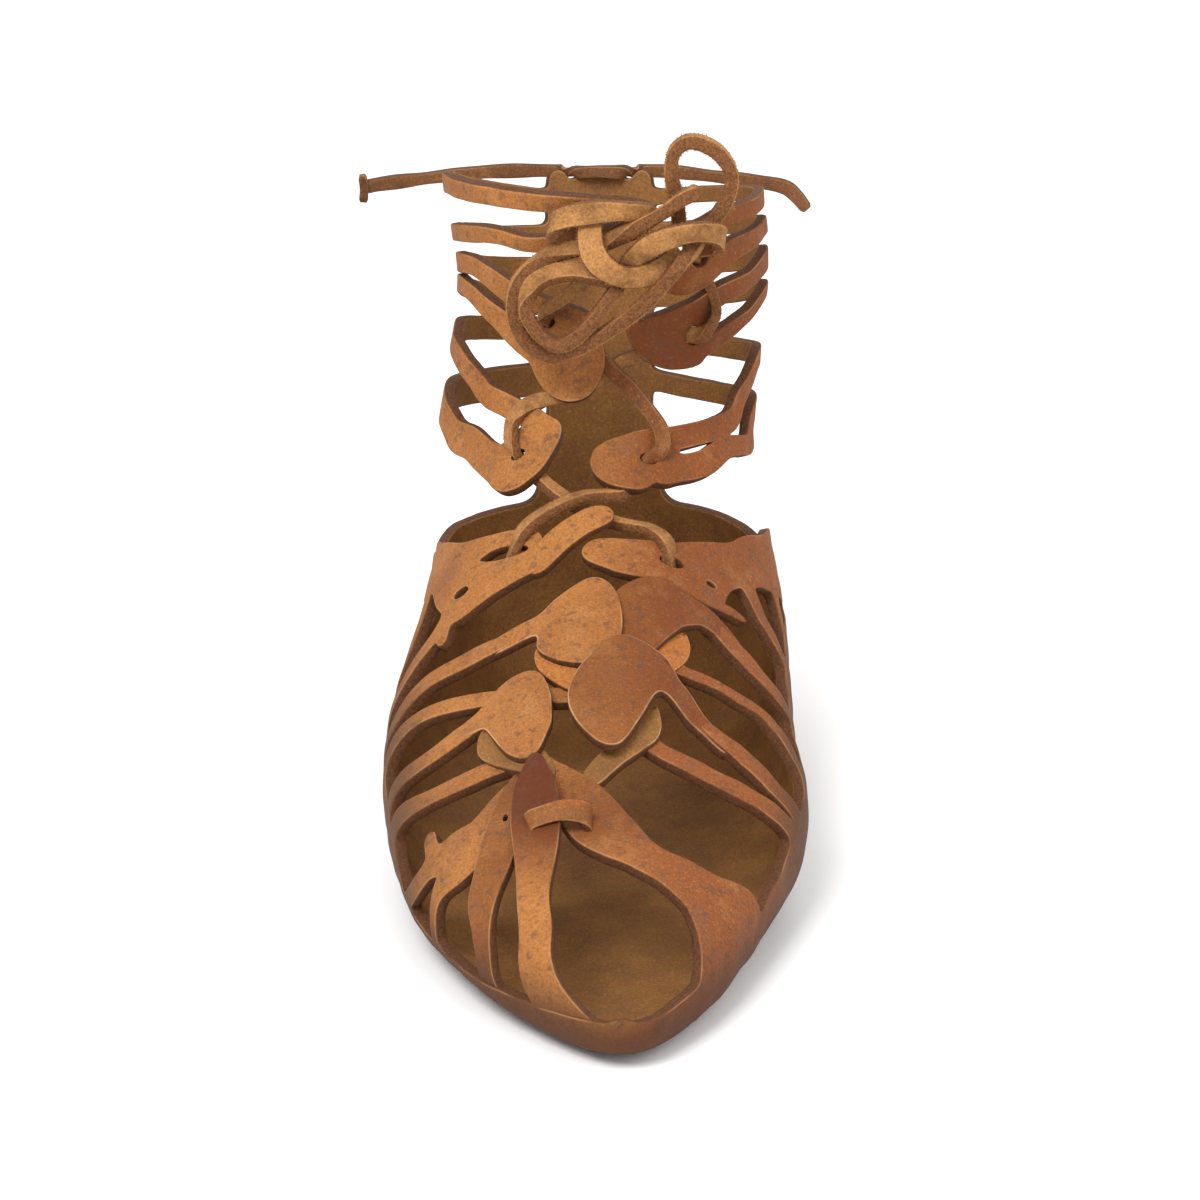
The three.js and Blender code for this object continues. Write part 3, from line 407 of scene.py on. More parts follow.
for name, rows, wide in (("knot_left", KNOT_LEFT, 5.6), ("knot_front", KNOT_FRONT, 6.4),
                         ("knot_right", KNOT_RIGHT, 5.4)):
    obj, _, _ = thong(name, rows, wide, KNOT_THICK, seed=len(name) + wide)
    lace_piece(obj, "lace_bow", *BOW_NAP, len(name))

# Lace crossings. Left run: out of the lateral band's slit, over the instep to the medial tab's eye and
# up behind the upper lateral tab. Right run: the mirror way, then up through the upper medial tab's eye.
# A row is station, share of the half girth, height over the form and the way the flesh side faces.
RUN_WIDE, RUN_THICK, OVER, UNDER = 4.0, 2.8, 4.6, -1.7
LEFT_RUN = [(4.70, -0.205, UNDER, "L"), (4.82, -0.185, UNDER + 0.4, "LU"), (4.90, -0.158, 1.5, "LU"),
            (5.02, -0.128, OVER, "U"), (5.14, -0.085, OVER + 0.4, "U"), (5.30, -0.03, 3.4, "U"),
            (5.42, 0.022, 0.0, "U"), (5.60, 0.050, UNDER, "U"), (5.78, 0.062, UNDER + 0.6, "U"),
            (5.90, 0.067, 1.6, "UB"), (6.06, 0.080, OVER, "B"), (6.40, 0.078, OVER, "B"),
            (6.80, 0.060, 3.2, "B"), (7.20, 0.040, 1.0, "B"), (7.50, 0.020, UNDER, "B"),
            (8.30, -0.020, UNDER, "B"), (9.00, -0.070, UNDER, "B"), (9.20, -0.082, 1.4, "BL"),
            (9.45, -0.082, OVER, "L"), (10.1, -0.04, OVER + 1.5, "F"), (10.7, 0.0, OVER + 1.0, "F")]
RIGHT_RUN = [(4.45, 0.140, UNDER, "R"), (4.60, 0.124, UNDER + 0.6, "RU"), (4.70, 0.115, 1.5, "RU"),
             (4.84, 0.100, OVER - 0.6, "U"), (4.96, 0.070, 3.0, "U"), (5.03, 0.040, 0.6, "U"),
             (5.12, 0.008, -1.2, "U"), (5.30, -0.038, -1.4, "U"), (5.58, -0.076, UNDER, "U"),
             (5.90, -0.104, UNDER, "U"), (6.16, -0.118, UNDER + 0.5, "UL"), (6.30, -0.123, 1.6, "L"),
             (6.46, -0.121, OVER, "FL"), (6.84, -0.112, OVER, "FL"), (7.04, -0.094, 3.0, "FU"),
             (7.12, -0.064, 0.0, "F"), (7.20, -0.03, -4.8, "F"), (7.40, 0.00, -5.2, "F"),
             (7.80, 0.03, -4.4, "F"), (8.30, 0.08, -2, "F"), (8.96, 0.128, UNDER, "FL"),
             (9.16, 0.146, 1.4, "L"), (9.46, 0.174, OVER, "L"), (9.95, 0.213, OVER + 0.2, "L"),
             (10.30, 0.222, 2.0, "L"), (10.60, 0.205, UNDER, "L"), (10.80, 0.190, 0.5, "L"),
             (11.0, 0.160, OVER, "L")]
for name, rows, node in (("lace_left_run", LEFT_RUN, "lace_left"),
                         ("lace_right_run", RIGHT_RUN, "lace_right")):
    obj, _, _ = thong(name, along_form(rows), RUN_WIDE, RUN_THICK, seed=len(node))
    lace_piece(obj, node, 1.0, 1.0, len(node))

# Hide. The leather is cut on the form's own surface: each strap is a centre line with widths, the
# turned-up edge is a height, and a distance field joins them with small round crotches. A table row is
# station, share of the half girth, width, and where needed the height over the form.
STRAP = 5.5
# the turned-up edge: y, height at the lateral side, height at the medial side
EDGE = np.array([(-250, 12.6, 12.6), (-232, 12.5, 13), (-222, 11.6, 14.5), (-205, 10.6, 17.5),
                 (-182, 11, 17.5), (-165, 14, 21.5), (-145, 24, 28), (-110, 31, 36), (-75, 39, 46),
                 (-35, 50, 53), (0, 56, 57), (60, 62, 62)], float)
ANKLE = [
    # lateral side, from the top down
    [(11.72, -0.96, STRAP), (11.82, -0.70, STRAP), (11.89, -0.48, STRAP), (11.80, -0.25, STRAP),
     (11.70, -0.13, STRAP), (11.60, 0.02, STRAP), (11.55, 0.09, 4)],
    [(11.54, -0.96, 4.8), (11.48, -0.70, 4.8), (11.43, -0.48, 4.8), (11.26, -0.24, 4.8),
     (11.00, -0.12, 4.8), (11.05, 0.00, 6), (11.30, 0.07, 8)],
    [(11.32, -0.96, STRAP), (11.24, -0.70, STRAP), (11.13, -0.47, STRAP), (10.92, -0.32, STRAP),
     (10.58, -0.235, 6.2), (10.14, -0.168, 6.8), (9.50, -0.09, 7.5), (8.90, -0.03, 9)],
    [(11.10, -0.96, STRAP), (11.02, -0.70, STRAP), (10.90, -0.47, 5), (10.60, -0.33, 4.8),
     (10.14, -0.24, 5.6), (9.50, -0.162, 6.8), (8.66, -0.098, 8), (7.90, -0.05, 9)],
    [(9.10, -0.060, 10), (8.60, -0.045, 17), (8.02, -0.040, 20), (7.56, -0.036, 16), (7.20, -0.028, 8)],
    [(10.90, -0.96, 6.6), (10.75, -0.72, 6.6), (10.40, -0.50, 6.6), (9.62, -0.32, 6.6),
     (8.70, -0.21, 6.6), (7.75, -0.147, 6.6), (7.10, -0.112, 6.4), (6.78, -0.090, 6.2),
     (6.50, -0.074, 6)],
    [(10.60, -0.96, 9.5), (10.25, -0.72, 9.5), (9.65, -0.50, 9.5), (8.70, -0.33, 9.5),
     (7.60, -0.225, 9.5), (6.72, -0.178, 9.5), (6.15, -0.145, 11), (6.05, -0.115, 11)],
    # medial side, from the top down
    [(11.75, 0.96, 4.5), (11.78, 0.70, 4.5), (11.74, 0.48, 4.5), (11.50, 0.27, 5.2), (11.28, 0.20, 5.5),
     (11.10, 0.15, 5)],
    [(11.54, 0.96, 4.5), (11.54, 0.70, 4.5), (11.48, 0.48, 4.5), (11.16, 0.31, 6), (10.84, 0.24, 8),
     (10.50, 0.185, 10), (10.35, 0.14, 10), (10.30, 0.10, 5)],
    [(11.32, 0.96, 6), (11.28, 0.70, 6), (11.16, 0.47, 6), (10.68, 0.325, 6), (10.18, 0.225, 7),
     (9.50, 0.145, 8.5), (9.20, 0.11, 8)],
    [(11.10, 0.96, 4.5), (11.02, 0.70, 4.5), (10.86, 0.48, 4.2), (10.26, 0.345, 4.4), (9.62, 0.235, 5.4),
     (9.10, 0.17, 6)],
    [(10.86, 0.96, 6), (10.62, 0.72, 6), (10.15, 0.50, 6), (9.50, 0.38, 6), (8.50, 0.25, 6),
     (7.05, 0.16, 6.4), (6.40, 0.10, 7), (6.10, 0.055, 8)],
    [(10.60, 0.96, 6), (10.20, 0.72, 6), (9.55, 0.50, 6), (8.60, 0.34, 6), (7.20, 0.21, 6),
     (6.25, 0.15, 7.5), (5.80, 0.09, 9)],
]
FOOT = [
    # roots of the lateral and the medial instep band
    [(7.3, -0.56, 15), (6.6, -0.44, 15), (5.75, -0.33, 15), (5.40, -0.29, 14)],
    [(7.3, 0.56, 17), (6.5, 0.43, 17), (5.65, 0.30, 16), (5.30, 0.26, 12)],
    # legs and a knob under the lateral band, then under the medial band
    [(5.60, -0.345, 5), (5.05, -0.372, 4.4), (4.76, -0.415, 4.4), (4.62, -0.47, 4.6)],
    [(4.75, -0.27, 5), (4.44, -0.32, 5), (4.32, -0.37, 5), (4.20, -0.43, 5), (4.15, -0.50, 6)],
    [(4.85, -0.28, 4), (4.50, -0.30, 4), (4.24, -0.312, 3.6)],
    [(5.15, 0.26, 7), (4.88, 0.32, 5.4), (4.80, 0.38, 4.4), (4.78, 0.46, 5)],
    [(6.0, 0.32, 4.5), (5.55, 0.37, 4.4), (5.30, 0.44, 4.4), (5.20, 0.50, 5)],
    [(4.70, 0.215, 5), (4.46, 0.218, 3.6), (4.49, 0.246, 3.2), (4.54, 0.278, 2.4)],
    # lateral legs, and the short bridge between the leaves
    [(3.80, -0.50, 6), (3.82, -0.42, 6), (3.86, -0.36, 6), (3.80, -0.29, 6), (3.80, -0.235, 5.6),
     (3.80, -0.19, 4.4)],
    [(3.55, -0.50, 6), (3.54, -0.43, 6), (3.48, -0.38, 5.4), (3.36, -0.325, 5.6), (3.22, -0.25, 5.6),
     (3.12, -0.20, 4)],
    [(3.08, -0.51, 6), (3.02, -0.45, 6), (2.90, -0.38, 6), (2.98, -0.315, 6), (3.02, -0.27, 5.6),
     (3.04, -0.22, 4)],
    [(2.80, -0.53, 7), (2.72, -0.47, 7), (2.50, -0.40, 6), (2.46, -0.345, 6), (2.48, -0.28, 6),
     (2.46, -0.215, 5.5), (2.40, -0.17, 5)],
    [(3.06, -0.12, 6), (3.04, -0.06, 6)],
    # medial legs
    [(4.13, 0.215, 5.6), (4.08, 0.25, 6.4), (4.03, 0.285, 7.2), (3.98, 0.335, 6.8), (3.98, 0.375, 6),
     (4.02, 0.43, 5.5), (4.02, 0.50, 5.5)],
    [(3.58, 0.13, 5), (3.42, 0.17, 4.2), (3.42, 0.235, 4), (3.42, 0.29, 4.2), (3.42, 0.35, 4.2),
     (3.34, 0.385, 4.2), (3.20, 0.43, 4.2), (3.15, 0.49, 4.5)],
    [(2.93, 0.235, 3.2), (2.87, 0.27, 4.8), (2.82, 0.305, 5.8), (2.74, 0.35, 6), (2.66, 0.40, 5.8),
     (2.68, 0.44, 5.4), (2.70, 0.50, 6)],
    [(2.76, 0.11, 5), (2.56, 0.14, 5.6), (2.46, 0.24, 6.2), (2.42, 0.33, 6.2), (2.44, 0.40, 6.2),
     (2.54, 0.46, 6), (2.56, 0.52, 6.5)],
    # toe: two lateral straps with a knob, the crossing strap and the corner of the toe opening
    [(2.36, -0.56, 5), (2.00, -0.49, 5), (1.86, -0.43, 6), (1.92, -0.37, 7)],
    [(1.80, -0.428, 4), (1.96, -0.422, 4), (2.11, -0.412, 3.6)],
    [(1.70, -0.58, 4.5), (1.66, -0.52, 3.4), (1.66, -0.46, 4.6), (1.68, -0.40, 10.5), (1.86, -0.34, 11.5),
     (2.12, -0.27, 9), (2.28, -0.22, 5)],
    [(2.40, -0.165, 4), (2.06, -0.09, 13), (1.70, -0.01, 16), (1.45, 0.13, 11.5), (1.31, 0.27, 14),
     (1.21, 0.38, 20), (1.15, 0.47, 29), (0.98, 0.56, 29)],
    [(1.26, 0.39, 14), (1.44, 0.452, 14), (1.50, 0.54, 18)],
]
# lateral band, medial band, lower lateral tab, upper and lower medial tab, as outlines: station, share
OUTLINES = [
    [(6.72, -0.366), (6.05, -0.300), (5.54, -0.246), (5.32, -0.198), (5.14, -0.142), (5.00, -0.106),
     (4.79, -0.100), (4.66, -0.090), (4.53, -0.112), (4.48, -0.160), (4.44, -0.215), (4.39, -0.285),
     (4.66, -0.305), (4.99, -0.322), (5.79, -0.345)],
    [(7.06, 0.380), (5.97, 0.282), (5.59, 0.242), (5.26, 0.196), (4.91, 0.114), (4.80, 0.046),
     (4.79, -0.012), (4.71, -0.036), (4.59, -0.040), (4.51, -0.026), (4.45, -0.006), (4.37, 0.036),
     (4.37, 0.090), (4.36, 0.148), (4.34, 0.206), (4.50, 0.226), (4.76, 0.240), (5.29, 0.304),
     (5.90, 0.372)],
    [(6.05, -0.172), (5.80, -0.158), (5.70, -0.132), (5.74, -0.106), (5.87, -0.082), (6.19, -0.058),
     (6.45, -0.052), (6.62, -0.062), (6.70, -0.090), (6.66, -0.122), (6.42, -0.156)],
    [(8.92, 0.036), (8.34, 0.040), (7.92, 0.060), (7.94, 0.088), (8.26, 0.120), (8.77, 0.160),
     (9.35, 0.185), (9.90, 0.215), (9.95, 0.170), (9.45, 0.096), (9.02, 0.046)],
    [(5.77, -0.018), (6.00, -0.008), (6.18, 0.022), (6.30, 0.050), (6.50, 0.090), (6.10, 0.110),
     (5.71, 0.086), (5.46, 0.060), (5.44, 0.018), (5.57, -0.010)],
]
# holes: station, share of the half girth, width and height in mm, turn in radians
HOLES = [(6.22, -0.119, 4.2, 3.4, 0.4), (9.20, -0.082, 5.4, 4.6, 0), (5.90, 0.066, 4.6, 4.0, 0),
         (9.22, 0.150, 4.6, 5.4, 0), (10.80, 0.195, 4.6, 4.6, 0), (4.92, -0.172, 12.5, 4.4, -0.18),
         (4.76, -0.262, 4.8, 4.0, 0), (4.66, 0.118, 6.4, 4.0, 0), (4.64, 0.197, 3.2, 2.4, 0),
         (11.92, 0.944, 3.2, 4.2, 0), (11.92, -0.944, 3.2, 4.2, 0)]
STAY_WIDTH, STAY_TOP = 30.0, 155.8
STAY_FLARE, STAY_FLARE_TOP, STAY_FLARE_RUN = 4, 90, 40     # how the stay widens into the heel cup
ROUND = 0.7          # width of the rounded cut edge
CROTCH = 1.6         # how far the field rounds off a crotch


def centre_line(rows):
    """Dense rows of x, y, z, width and height over the form."""
    rows = np.array([tuple(r) + (0.0,) * (4 - len(r)) for r in rows], float)
    s = np.linspace(0, len(rows) - 1, (len(rows) - 1) * 12 + 1)
    d = through(rows, s)
    return np.concatenate([on_form(d[:, 0], d[:, 1], MIDDLE), d[:, 2:4]], 1)


def strap_field(points, line, reach=9.0):
    """Distance from points to the strap's outline, negative inside."""
    out = np.full(len(points), 1e3)
    half = line[:, 3].max() / 2 + reach
    lo, hi = line[:, :3].min(0) - half, line[:, :3].max(0) + half
    near = np.flatnonzero(((points > lo) & (points < hi)).all(1))
    q = points[near]
    best = np.full(len(q), 1e3)
    for a, b in zip(line[:-1], line[1:]):
        d = b[:3] - a[:3]
        t = np.clip(((q - a[:3]) @ d) / (d @ d + 1e-9), 0, 1)
        w = np.linalg.norm(q - a[:3] - t[:, None] * d, axis=1) - (a[3] + (b[3] - a[3]) * t) / 2
        best = np.minimum(best, w)
    out[near] = best
    return out


def join(a, b, k=CROTCH):
    """The nearer of two distances, rounded off where they are alike."""
    h = np.clip(0.5 + 0.5 * (b - a) / k, 0, 1)
    return b + (a - b) * h - k * h * (1 - h)


def waves(p):
    """Small unevenness of the leather, in mm."""
    return (0.22 * np.sin(p[..., 0] * 0.21 + p[..., 1] * 0.13) * np.cos(p[..., 1] * 0.17 - p[..., 2] * 0.11)
            + 0.12 * np.sin(p[..., 0] * 0.47 - p[..., 2] * 0.39 + 1.3) * np.sin(p[..., 1] * 0.41 + 0.7))


def cut_sheet(name, us, vs, field_of, lift_of=None, thick=HIDE, wrap=False, flip=False, split=None):
    """Leather cut out of the form's surface where field_of(points) is negative, with rounded edges."""
    U, V = np.meshgrid(us, vs, indexing="ij")
    P = on_form(U, V, MIDDLE)
    F = field_of(P.reshape(-1, 3)).reshape(U.shape) + ROUND
    nv = U.shape[1]
    if not wrap:
        F[:, 0] = F[:, -1] = np.maximum(F[:, 0], 0.2)
    if us[0] > 0.01:
        F[0] = np.maximum(F[0], 0.2)
    F[-1] = np.maximum(F[-1], 0.2)
    inside = F < 0
    cols = nv if wrap else nv - 1
    nxt = (np.arange(nv) + 1) % nv
    # grid vertices in use, and one vertex on each crossed grid edge
    uv, index = [], -np.ones(U.shape, int)
    ii, jj = np.nonzero(inside)
    index[ii, jj] = np.arange(len(ii))
    uv.append(np.stack([U[ii, jj], V[ii, jj]], 1))
    span = vs[1] - vs[0]
    count = len(ii)
    crossing = {}

    def add(i0, j0, i1, j1, key):
        nonlocal count
        f0, f1 = F[i0, j0], F[i1, j1]
        t = np.clip(f0 / (f0 - f1), 0.12, 0.88)
        dv = span if key == "h" else 0.0
        uv.append(np.stack([U[i0, j0] + (U[i1, j1] - U[i0, j0]) * t, V[i0, j0] + dv * t], 1))
        ids = np.arange(count, count + len(i0))
        count += len(i0)
        grid = -np.ones(U.shape, int)
        grid[i0, j0] = ids
        crossing[key] = grid

    i0, j0 = np.nonzero(inside[:, :cols] != inside[:, nxt[:cols]])
    add(i0, j0, i0, nxt[j0], "h")
    i0, j0 = np.nonzero(inside[:-1] != inside[1:])
    add(i0, j0, i0 + 1, j0, "v")
    H, W = crossing["h"], crossing["v"]
    faces, segments = [], []
    full = inside[:-1, :cols] & inside[1:, :cols] & inside[:-1][:, nxt[:cols]] & inside[1:][:, nxt[:cols]]
    fi, fj = np.nonzero(full)
    quads = np.stack([index[fi, fj], index[fi + 1, fj], index[fi + 1, nxt[fj]], index[fi, nxt[fj]]], 1)
    faces += [tuple(q) for q in quads.tolist()]
    if us[0] < 0.01:
        faces.append(tuple(int(k) for k in index[0]))
    some = inside[:-1, :cols] | inside[1:, :cols] | inside[:-1][:, nxt[:cols]] | inside[1:][:, nxt[:cols]]
    some &= ~full
    for i, j in zip(*np.nonzero(some)):
        k = nxt[j]
        corner = [(i, j), (i + 1, j), (i + 1, k), (i, k)]
        side = [W[i, j], H[i + 1, j], W[i, k], H[i, j]]
        state = [bool(inside[c]) for c in corner]
        if state[0] == state[2] and state[1] == state[3] and state[0] != state[1]:
            for c in range(4):
                if state[c]:
                    faces.append((int(index[corner[c]]), int(side[c]), int(side[c - 1])))
                    segments.append((int(side[c]), int(side[c - 1])))
            continue
        poly, marks = [], []
        for c in range(4):
            if state[c]:
                poly.append(int(index[corner[c]]))
            if state[c] != state[(c + 1) % 4]:
                poly.append(int(side[c]))
                marks.append((len(poly) - 1, state[c]))
        faces.append(tuple(poly))
        if len(marks) == 2:
            out_at = next(m for m, leaving in marks if leaving)
            in_at = next(m for m, leaving in marks if not leaving)
            segments.append((poly[out_at], poly[in_at]))
    uv = np.concatenate(uv)
    after = dict(segments)
    before = {b: a for a, b in segments}
    # loops of cut edge, smoothed along their length
    ring = np.array(sorted(after))
    nx, pv = np.array([after[k] for k in ring]), np.array([before[k] for k in ring])

    def wrapped(d):
        return (d + 1) % 2 - 1 if wrap else d
    for _ in range(3):
        a, b = uv[nx] - uv[ring], uv[pv] - uv[ring]
        a[:, 1], b[:, 1] = wrapped(a[:, 1]), wrapped(b[:, 1])
        uv[ring] += 0.25 * (a + b)
    mid = on_form(uv[:, 0], uv[:, 1], MIDDLE)
    lift = lift_of(mid) if lift_of is not None else np.zeros(len(uv))
    lift = lift + waves(mid) * (mid[:, 2] > 6)
    n = form_normal(uv[:, 0], uv[:, 1])
    low, high = on_form(uv[:, 0], uv[:, 1], lift), on_form(uv[:, 0], uv[:, 1], lift + thick)
    t = mid[nx] - mid[pv]
    t /= np.linalg.norm(t, axis=1, keepdims=True) + 1e-9
    out = np.cross(t, n[ring])
    out /= np.linalg.norm(out, axis=1, keepdims=True) + 1e-9
    # outward must point away from the cut piece: compare with the field's slope at the ring
    probe = field_of(mid[ring] + out * 0.4) - field_of(mid[ring] - out * 0.4)
    if np.median(probe) < 0:
        out = -out
    # the rounded edge: outward, height, how much it is a cut side
    profile = [(0.40, thick - 0.05, 0.35), (0.62, thick - 0.22, 0.7), (ROUND, thick - 0.6, 1.0),
               (ROUND + 0.02, thick / 2, 1.0), (ROUND, 0.5, 1.0), (0.55, 0.15, 0.7), (0.3, 0.03, 0.3)]
    m = len(uv)
    verts = [high, low]
    cut, flesh = [np.zeros(m), np.zeros(m)], [np.zeros(m), np.ones(m)]
    for a, h, e in profile:
        share = h / thick
        verts.append(low[ring] + (high[ring] - low[ring]) * share + out * a)
        cut.append(np.full(len(ring), e))
        flesh.append(np.full(len(ring), 1 - share))
    verts = np.concatenate(verts)
    cut, flesh = np.concatenate(cut), np.concatenate(flesh)
    if flip:
        flesh = 1 - flesh
    r = len(ring)
    strips = [list(ring)] + [list(range(2 * m + k * r, 2 * m + (k + 1) * r)) for k in range(len(profile))]
    strips.append(list(ring + m))
    place = {int(r): k for k, r in enumerate(ring)}
    all_faces = [tuple(reversed(f)) for f in faces] + [tuple(x + m for x in f) for f in faces]
    for a, b in segments:
        ka, kb = place[a], place[b]
        for s0, s1 in zip(strips[:-1], strips[1:]):
            all_faces.append((int(s0[ka]), int(s0[kb]), int(s1[kb]), int(s1[ka])))
    # the first face's direction settles all of them
    f = all_faces[0]
    e1, e2 = verts[f[1]] - verts[f[0]], verts[f[2]] - verts[f[0]]
    if np.dot(np.cross(e1, e2), n[f[0]]) < 0:
        all_faces = [tuple(reversed(f)) for f in all_faces]
    if split is None:
        return new_object(name, verts, all_faces, cut=cut, flesh=flesh)
    where = split(verts)
    made = []
    for key, label in ((False, name), (True, name + "_ankle")):
        keep = [f for f in all_faces if bool(where[f[0]]) == key]
        used = np.unique(np.concatenate([np.array(f) for f in keep]))
        back = -np.ones(len(verts), int)
        back[used] = np.arange(len(used))
        keep = [tuple(int(back[x]) for x in f) for f in keep]
        made.append(new_object(label, verts[used], keep, cut=cut[used], flesh=flesh[used]))
    return made


def hole_field(points, u, v, wide, tall, turn):
    """Distance from points to a hole's edge, negative inside the hole."""
    c, n = on_form(u, v, MIDDLE), form_normal(np.float64(u), np.float64(v))
    x = np.array([1.0, 0, 0]) - n * n[0]
    x /= np.linalg.norm(x)
    y = np.cross(n, x)
    d = points - c
    a = d @ (x * math.cos(turn) + y * math.sin(turn))
    b = d @ (y * math.cos(turn) - x * math.sin(turn))
    r = np.hypot(a / (wide / 2), b / (tall / 2)) - 1
    return np.where(np.abs(d @ n) < 6, r * min(wide, tall) / 2, 50.0)


def spline_loop(outline, step=6):
    """A closed smooth loop through an outline's points."""
    rows = np.array(outline, float)
    n = len(rows)
    s = np.arange(n * step) / step
    ring = np.concatenate([rows[-1:], rows, rows[:2]])
    return through(ring, s + 1)


def outline_field(points, outline):
    """Distance from points to a closed outline, in the plane that fits it best, negative inside."""
    corners = on_form(*np.array(outline, float).T, MIDDLE)
    middle = corners.mean(0)
    _, _, axes = np.linalg.svd(corners - middle)
    p, q = (points - middle) @ axes[:2].T, (corners - middle) @ axes[:2].T
    best, inside = np.full(len(p), 1e9), np.zeros(len(p), bool)
    for a, b in zip(q, np.roll(q, -1, axis=0)):
        d = b - a
        t = np.clip(((p - a) @ d) / (d @ d + 1e-12), 0, 1)
        best = np.minimum(best, np.linalg.norm(p - a - t[:, None] * d, axis=1))
        crosses = (a[1] > p[:, 1]) != (b[1] > p[:, 1])
        inside ^= crosses & (p[:, 0] < (b[0] - a[0]) * (p[:, 1] - a[1]) / (b[1] - a[1] + 1e-12) + a[0])
    far = np.abs((points - middle) @ axes[2]) > 22
    return np.where(far, 40.0, np.where(inside, -best, best))


base_lines = [centre_line(rows) for rows in ANKLE + FOOT]
base_outlines = [spline_loop(rows) for rows in OUTLINES]


def base_field(points):
    """Distance to the outline of the whole hide, negative inside."""
    side = smooth(points[:, 0] / 16 + 0.5)
    lateral, medial = (np.interp(points[:, 1], EDGE[:, 0], EDGE[:, k]) for k in (1, 2))
    rim = lateral * (1 - side) + medial * side
    d = points[:, 2] - rim
    flare = STAY_FLARE * smooth((STAY_FLARE_TOP - points[:, 2]) / STAY_FLARE_RUN)
    stay = np.maximum(np.abs(points[:, 0]) - STAY_WIDTH / 2 - flare, points[:, 2] - STAY_TOP)
    d = join(d, np.where(points[:, 1] > 0, stay, 1e3), 6.0)
    for line in base_lines:
        d = join(d, strap_field(points, line))
    for loop in base_outlines:
        d = join(d, outline_field(points, loop))
    for h in HOLES:
        d = np.maximum(d, -hole_field(points, *h))
    return d


# grid lines are about 1.2 mm apart along the shoe and closer at the toe
stations = np.concatenate([np.linspace(0, 1.2, 43)[:-1], np.linspace(1.2, 7.4, 172)[:-1],
                           np.linspace(7.4, 12.5, 164)])
shares = np.linspace(-1, 1, 237)[:-1]
hide_pieces = cut_sheet("hide", stations, shares, base_field, wrap=True,
                        split=lambda p: (p[:, 2] > 80) & (p[:, 1] > -60))
# darker places of the uncut leather: station, share of the half girth, reach in mm, how dark
SHADES = [(1.95, -0.06, 20, 0.55), (8.50, 0.10, 28, 0.62), (5.85, 0.04, 22, 0.35), (5.2, 0.20, 30, 0.2),
          (10.6, 0.24, 30, 0.3)]


hide_look = leather("hide_leather_look", srgb(166, 108, 56), srgb(146, 91, 47), srgb(126, 66, 32),
                    srgb(142, 98, 50), srgb(98, 62, 37))


def mark(obj, key, values):
    obj.data.attributes.new(key, "FLOAT", "POINT").data.foreach_set("value", values.astype(np.float32))


for piece in hide_pieces:
    places = np.array([vertex.co for vertex in piece.data.vertices]) / MM
    dark = np.zeros(len(places))
    for u, v, reach, amount in SHADES:
        away = np.linalg.norm(places - on_form(u, v, MIDDLE), axis=1)
        dark = np.maximum(dark, amount * smooth(1.3 - away / reach))
    mark(piece, "dark", dark)
    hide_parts("hide")
    piece.data.materials.append(hide_look)

# Raised ends. Where a strap's round end lies over its neighbour it is a sheet of its own, on a ramp:
# its spine gives station, share, width and height over the form, its outline station and share.
RAISED_THICK, RAISED_GRID = 2.6, 1.2
fold_look = leather("fold_leather_look", srgb(184, 118, 58), srgb(170, 106, 50), srgb(166, 98, 46),
                    srgb(160, 112, 60), srgb(112, 70, 40))


def raised(name, spine, outline=None, flesh_out=False, holes=(), dark=0.0, pale=0.0, look=hide_look):
    line = centre_line(spine)
    rows = np.array([r[:2] for r in spine] + list(outline or ()), float)
    (u0, v0), (u1, v1) = rows.min(0), rows.max(0)
    du, dv = RAISED_GRID / 27, RAISED_GRID / 108
    us = np.arange(max(0.01, u0 - 0.35), min(12.5, u1 + 0.35), du)
    vs = np.arange(v0 - 0.12, v1 + 0.12, dv)
    soft = None if outline is None else np.array(spline_loop(outline))

    def field(points):
        d = strap_field(points, line)
        if soft is not None:
            d = join(d, outline_field(points, soft), 2.0)
        for h in holes:
            d = np.maximum(d, -hole_field(points, *h))
        return d

    def lift(points):
        gap = np.linalg.norm(points[:, None, :] - line[None, ::4, :3], axis=2)
        w = 1 / (gap ** 2 + 4) ** 1.5
        return (w * line[None, ::4, 4]).sum(1) / w.sum(1)

    obj = cut_sheet(name, us, vs, field, lift, RAISED_THICK, flip=flesh_out)
    count = len(obj.data.vertices)
    height = np.array([vertex.co.z for vertex in obj.data.vertices]) / MM
    mark(obj, "dark", dark(height) if callable(dark) else np.full(count, dark))
    mark(obj, "pale", np.full(count, pale))
    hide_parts("hide")
    obj.data.materials.append(look)


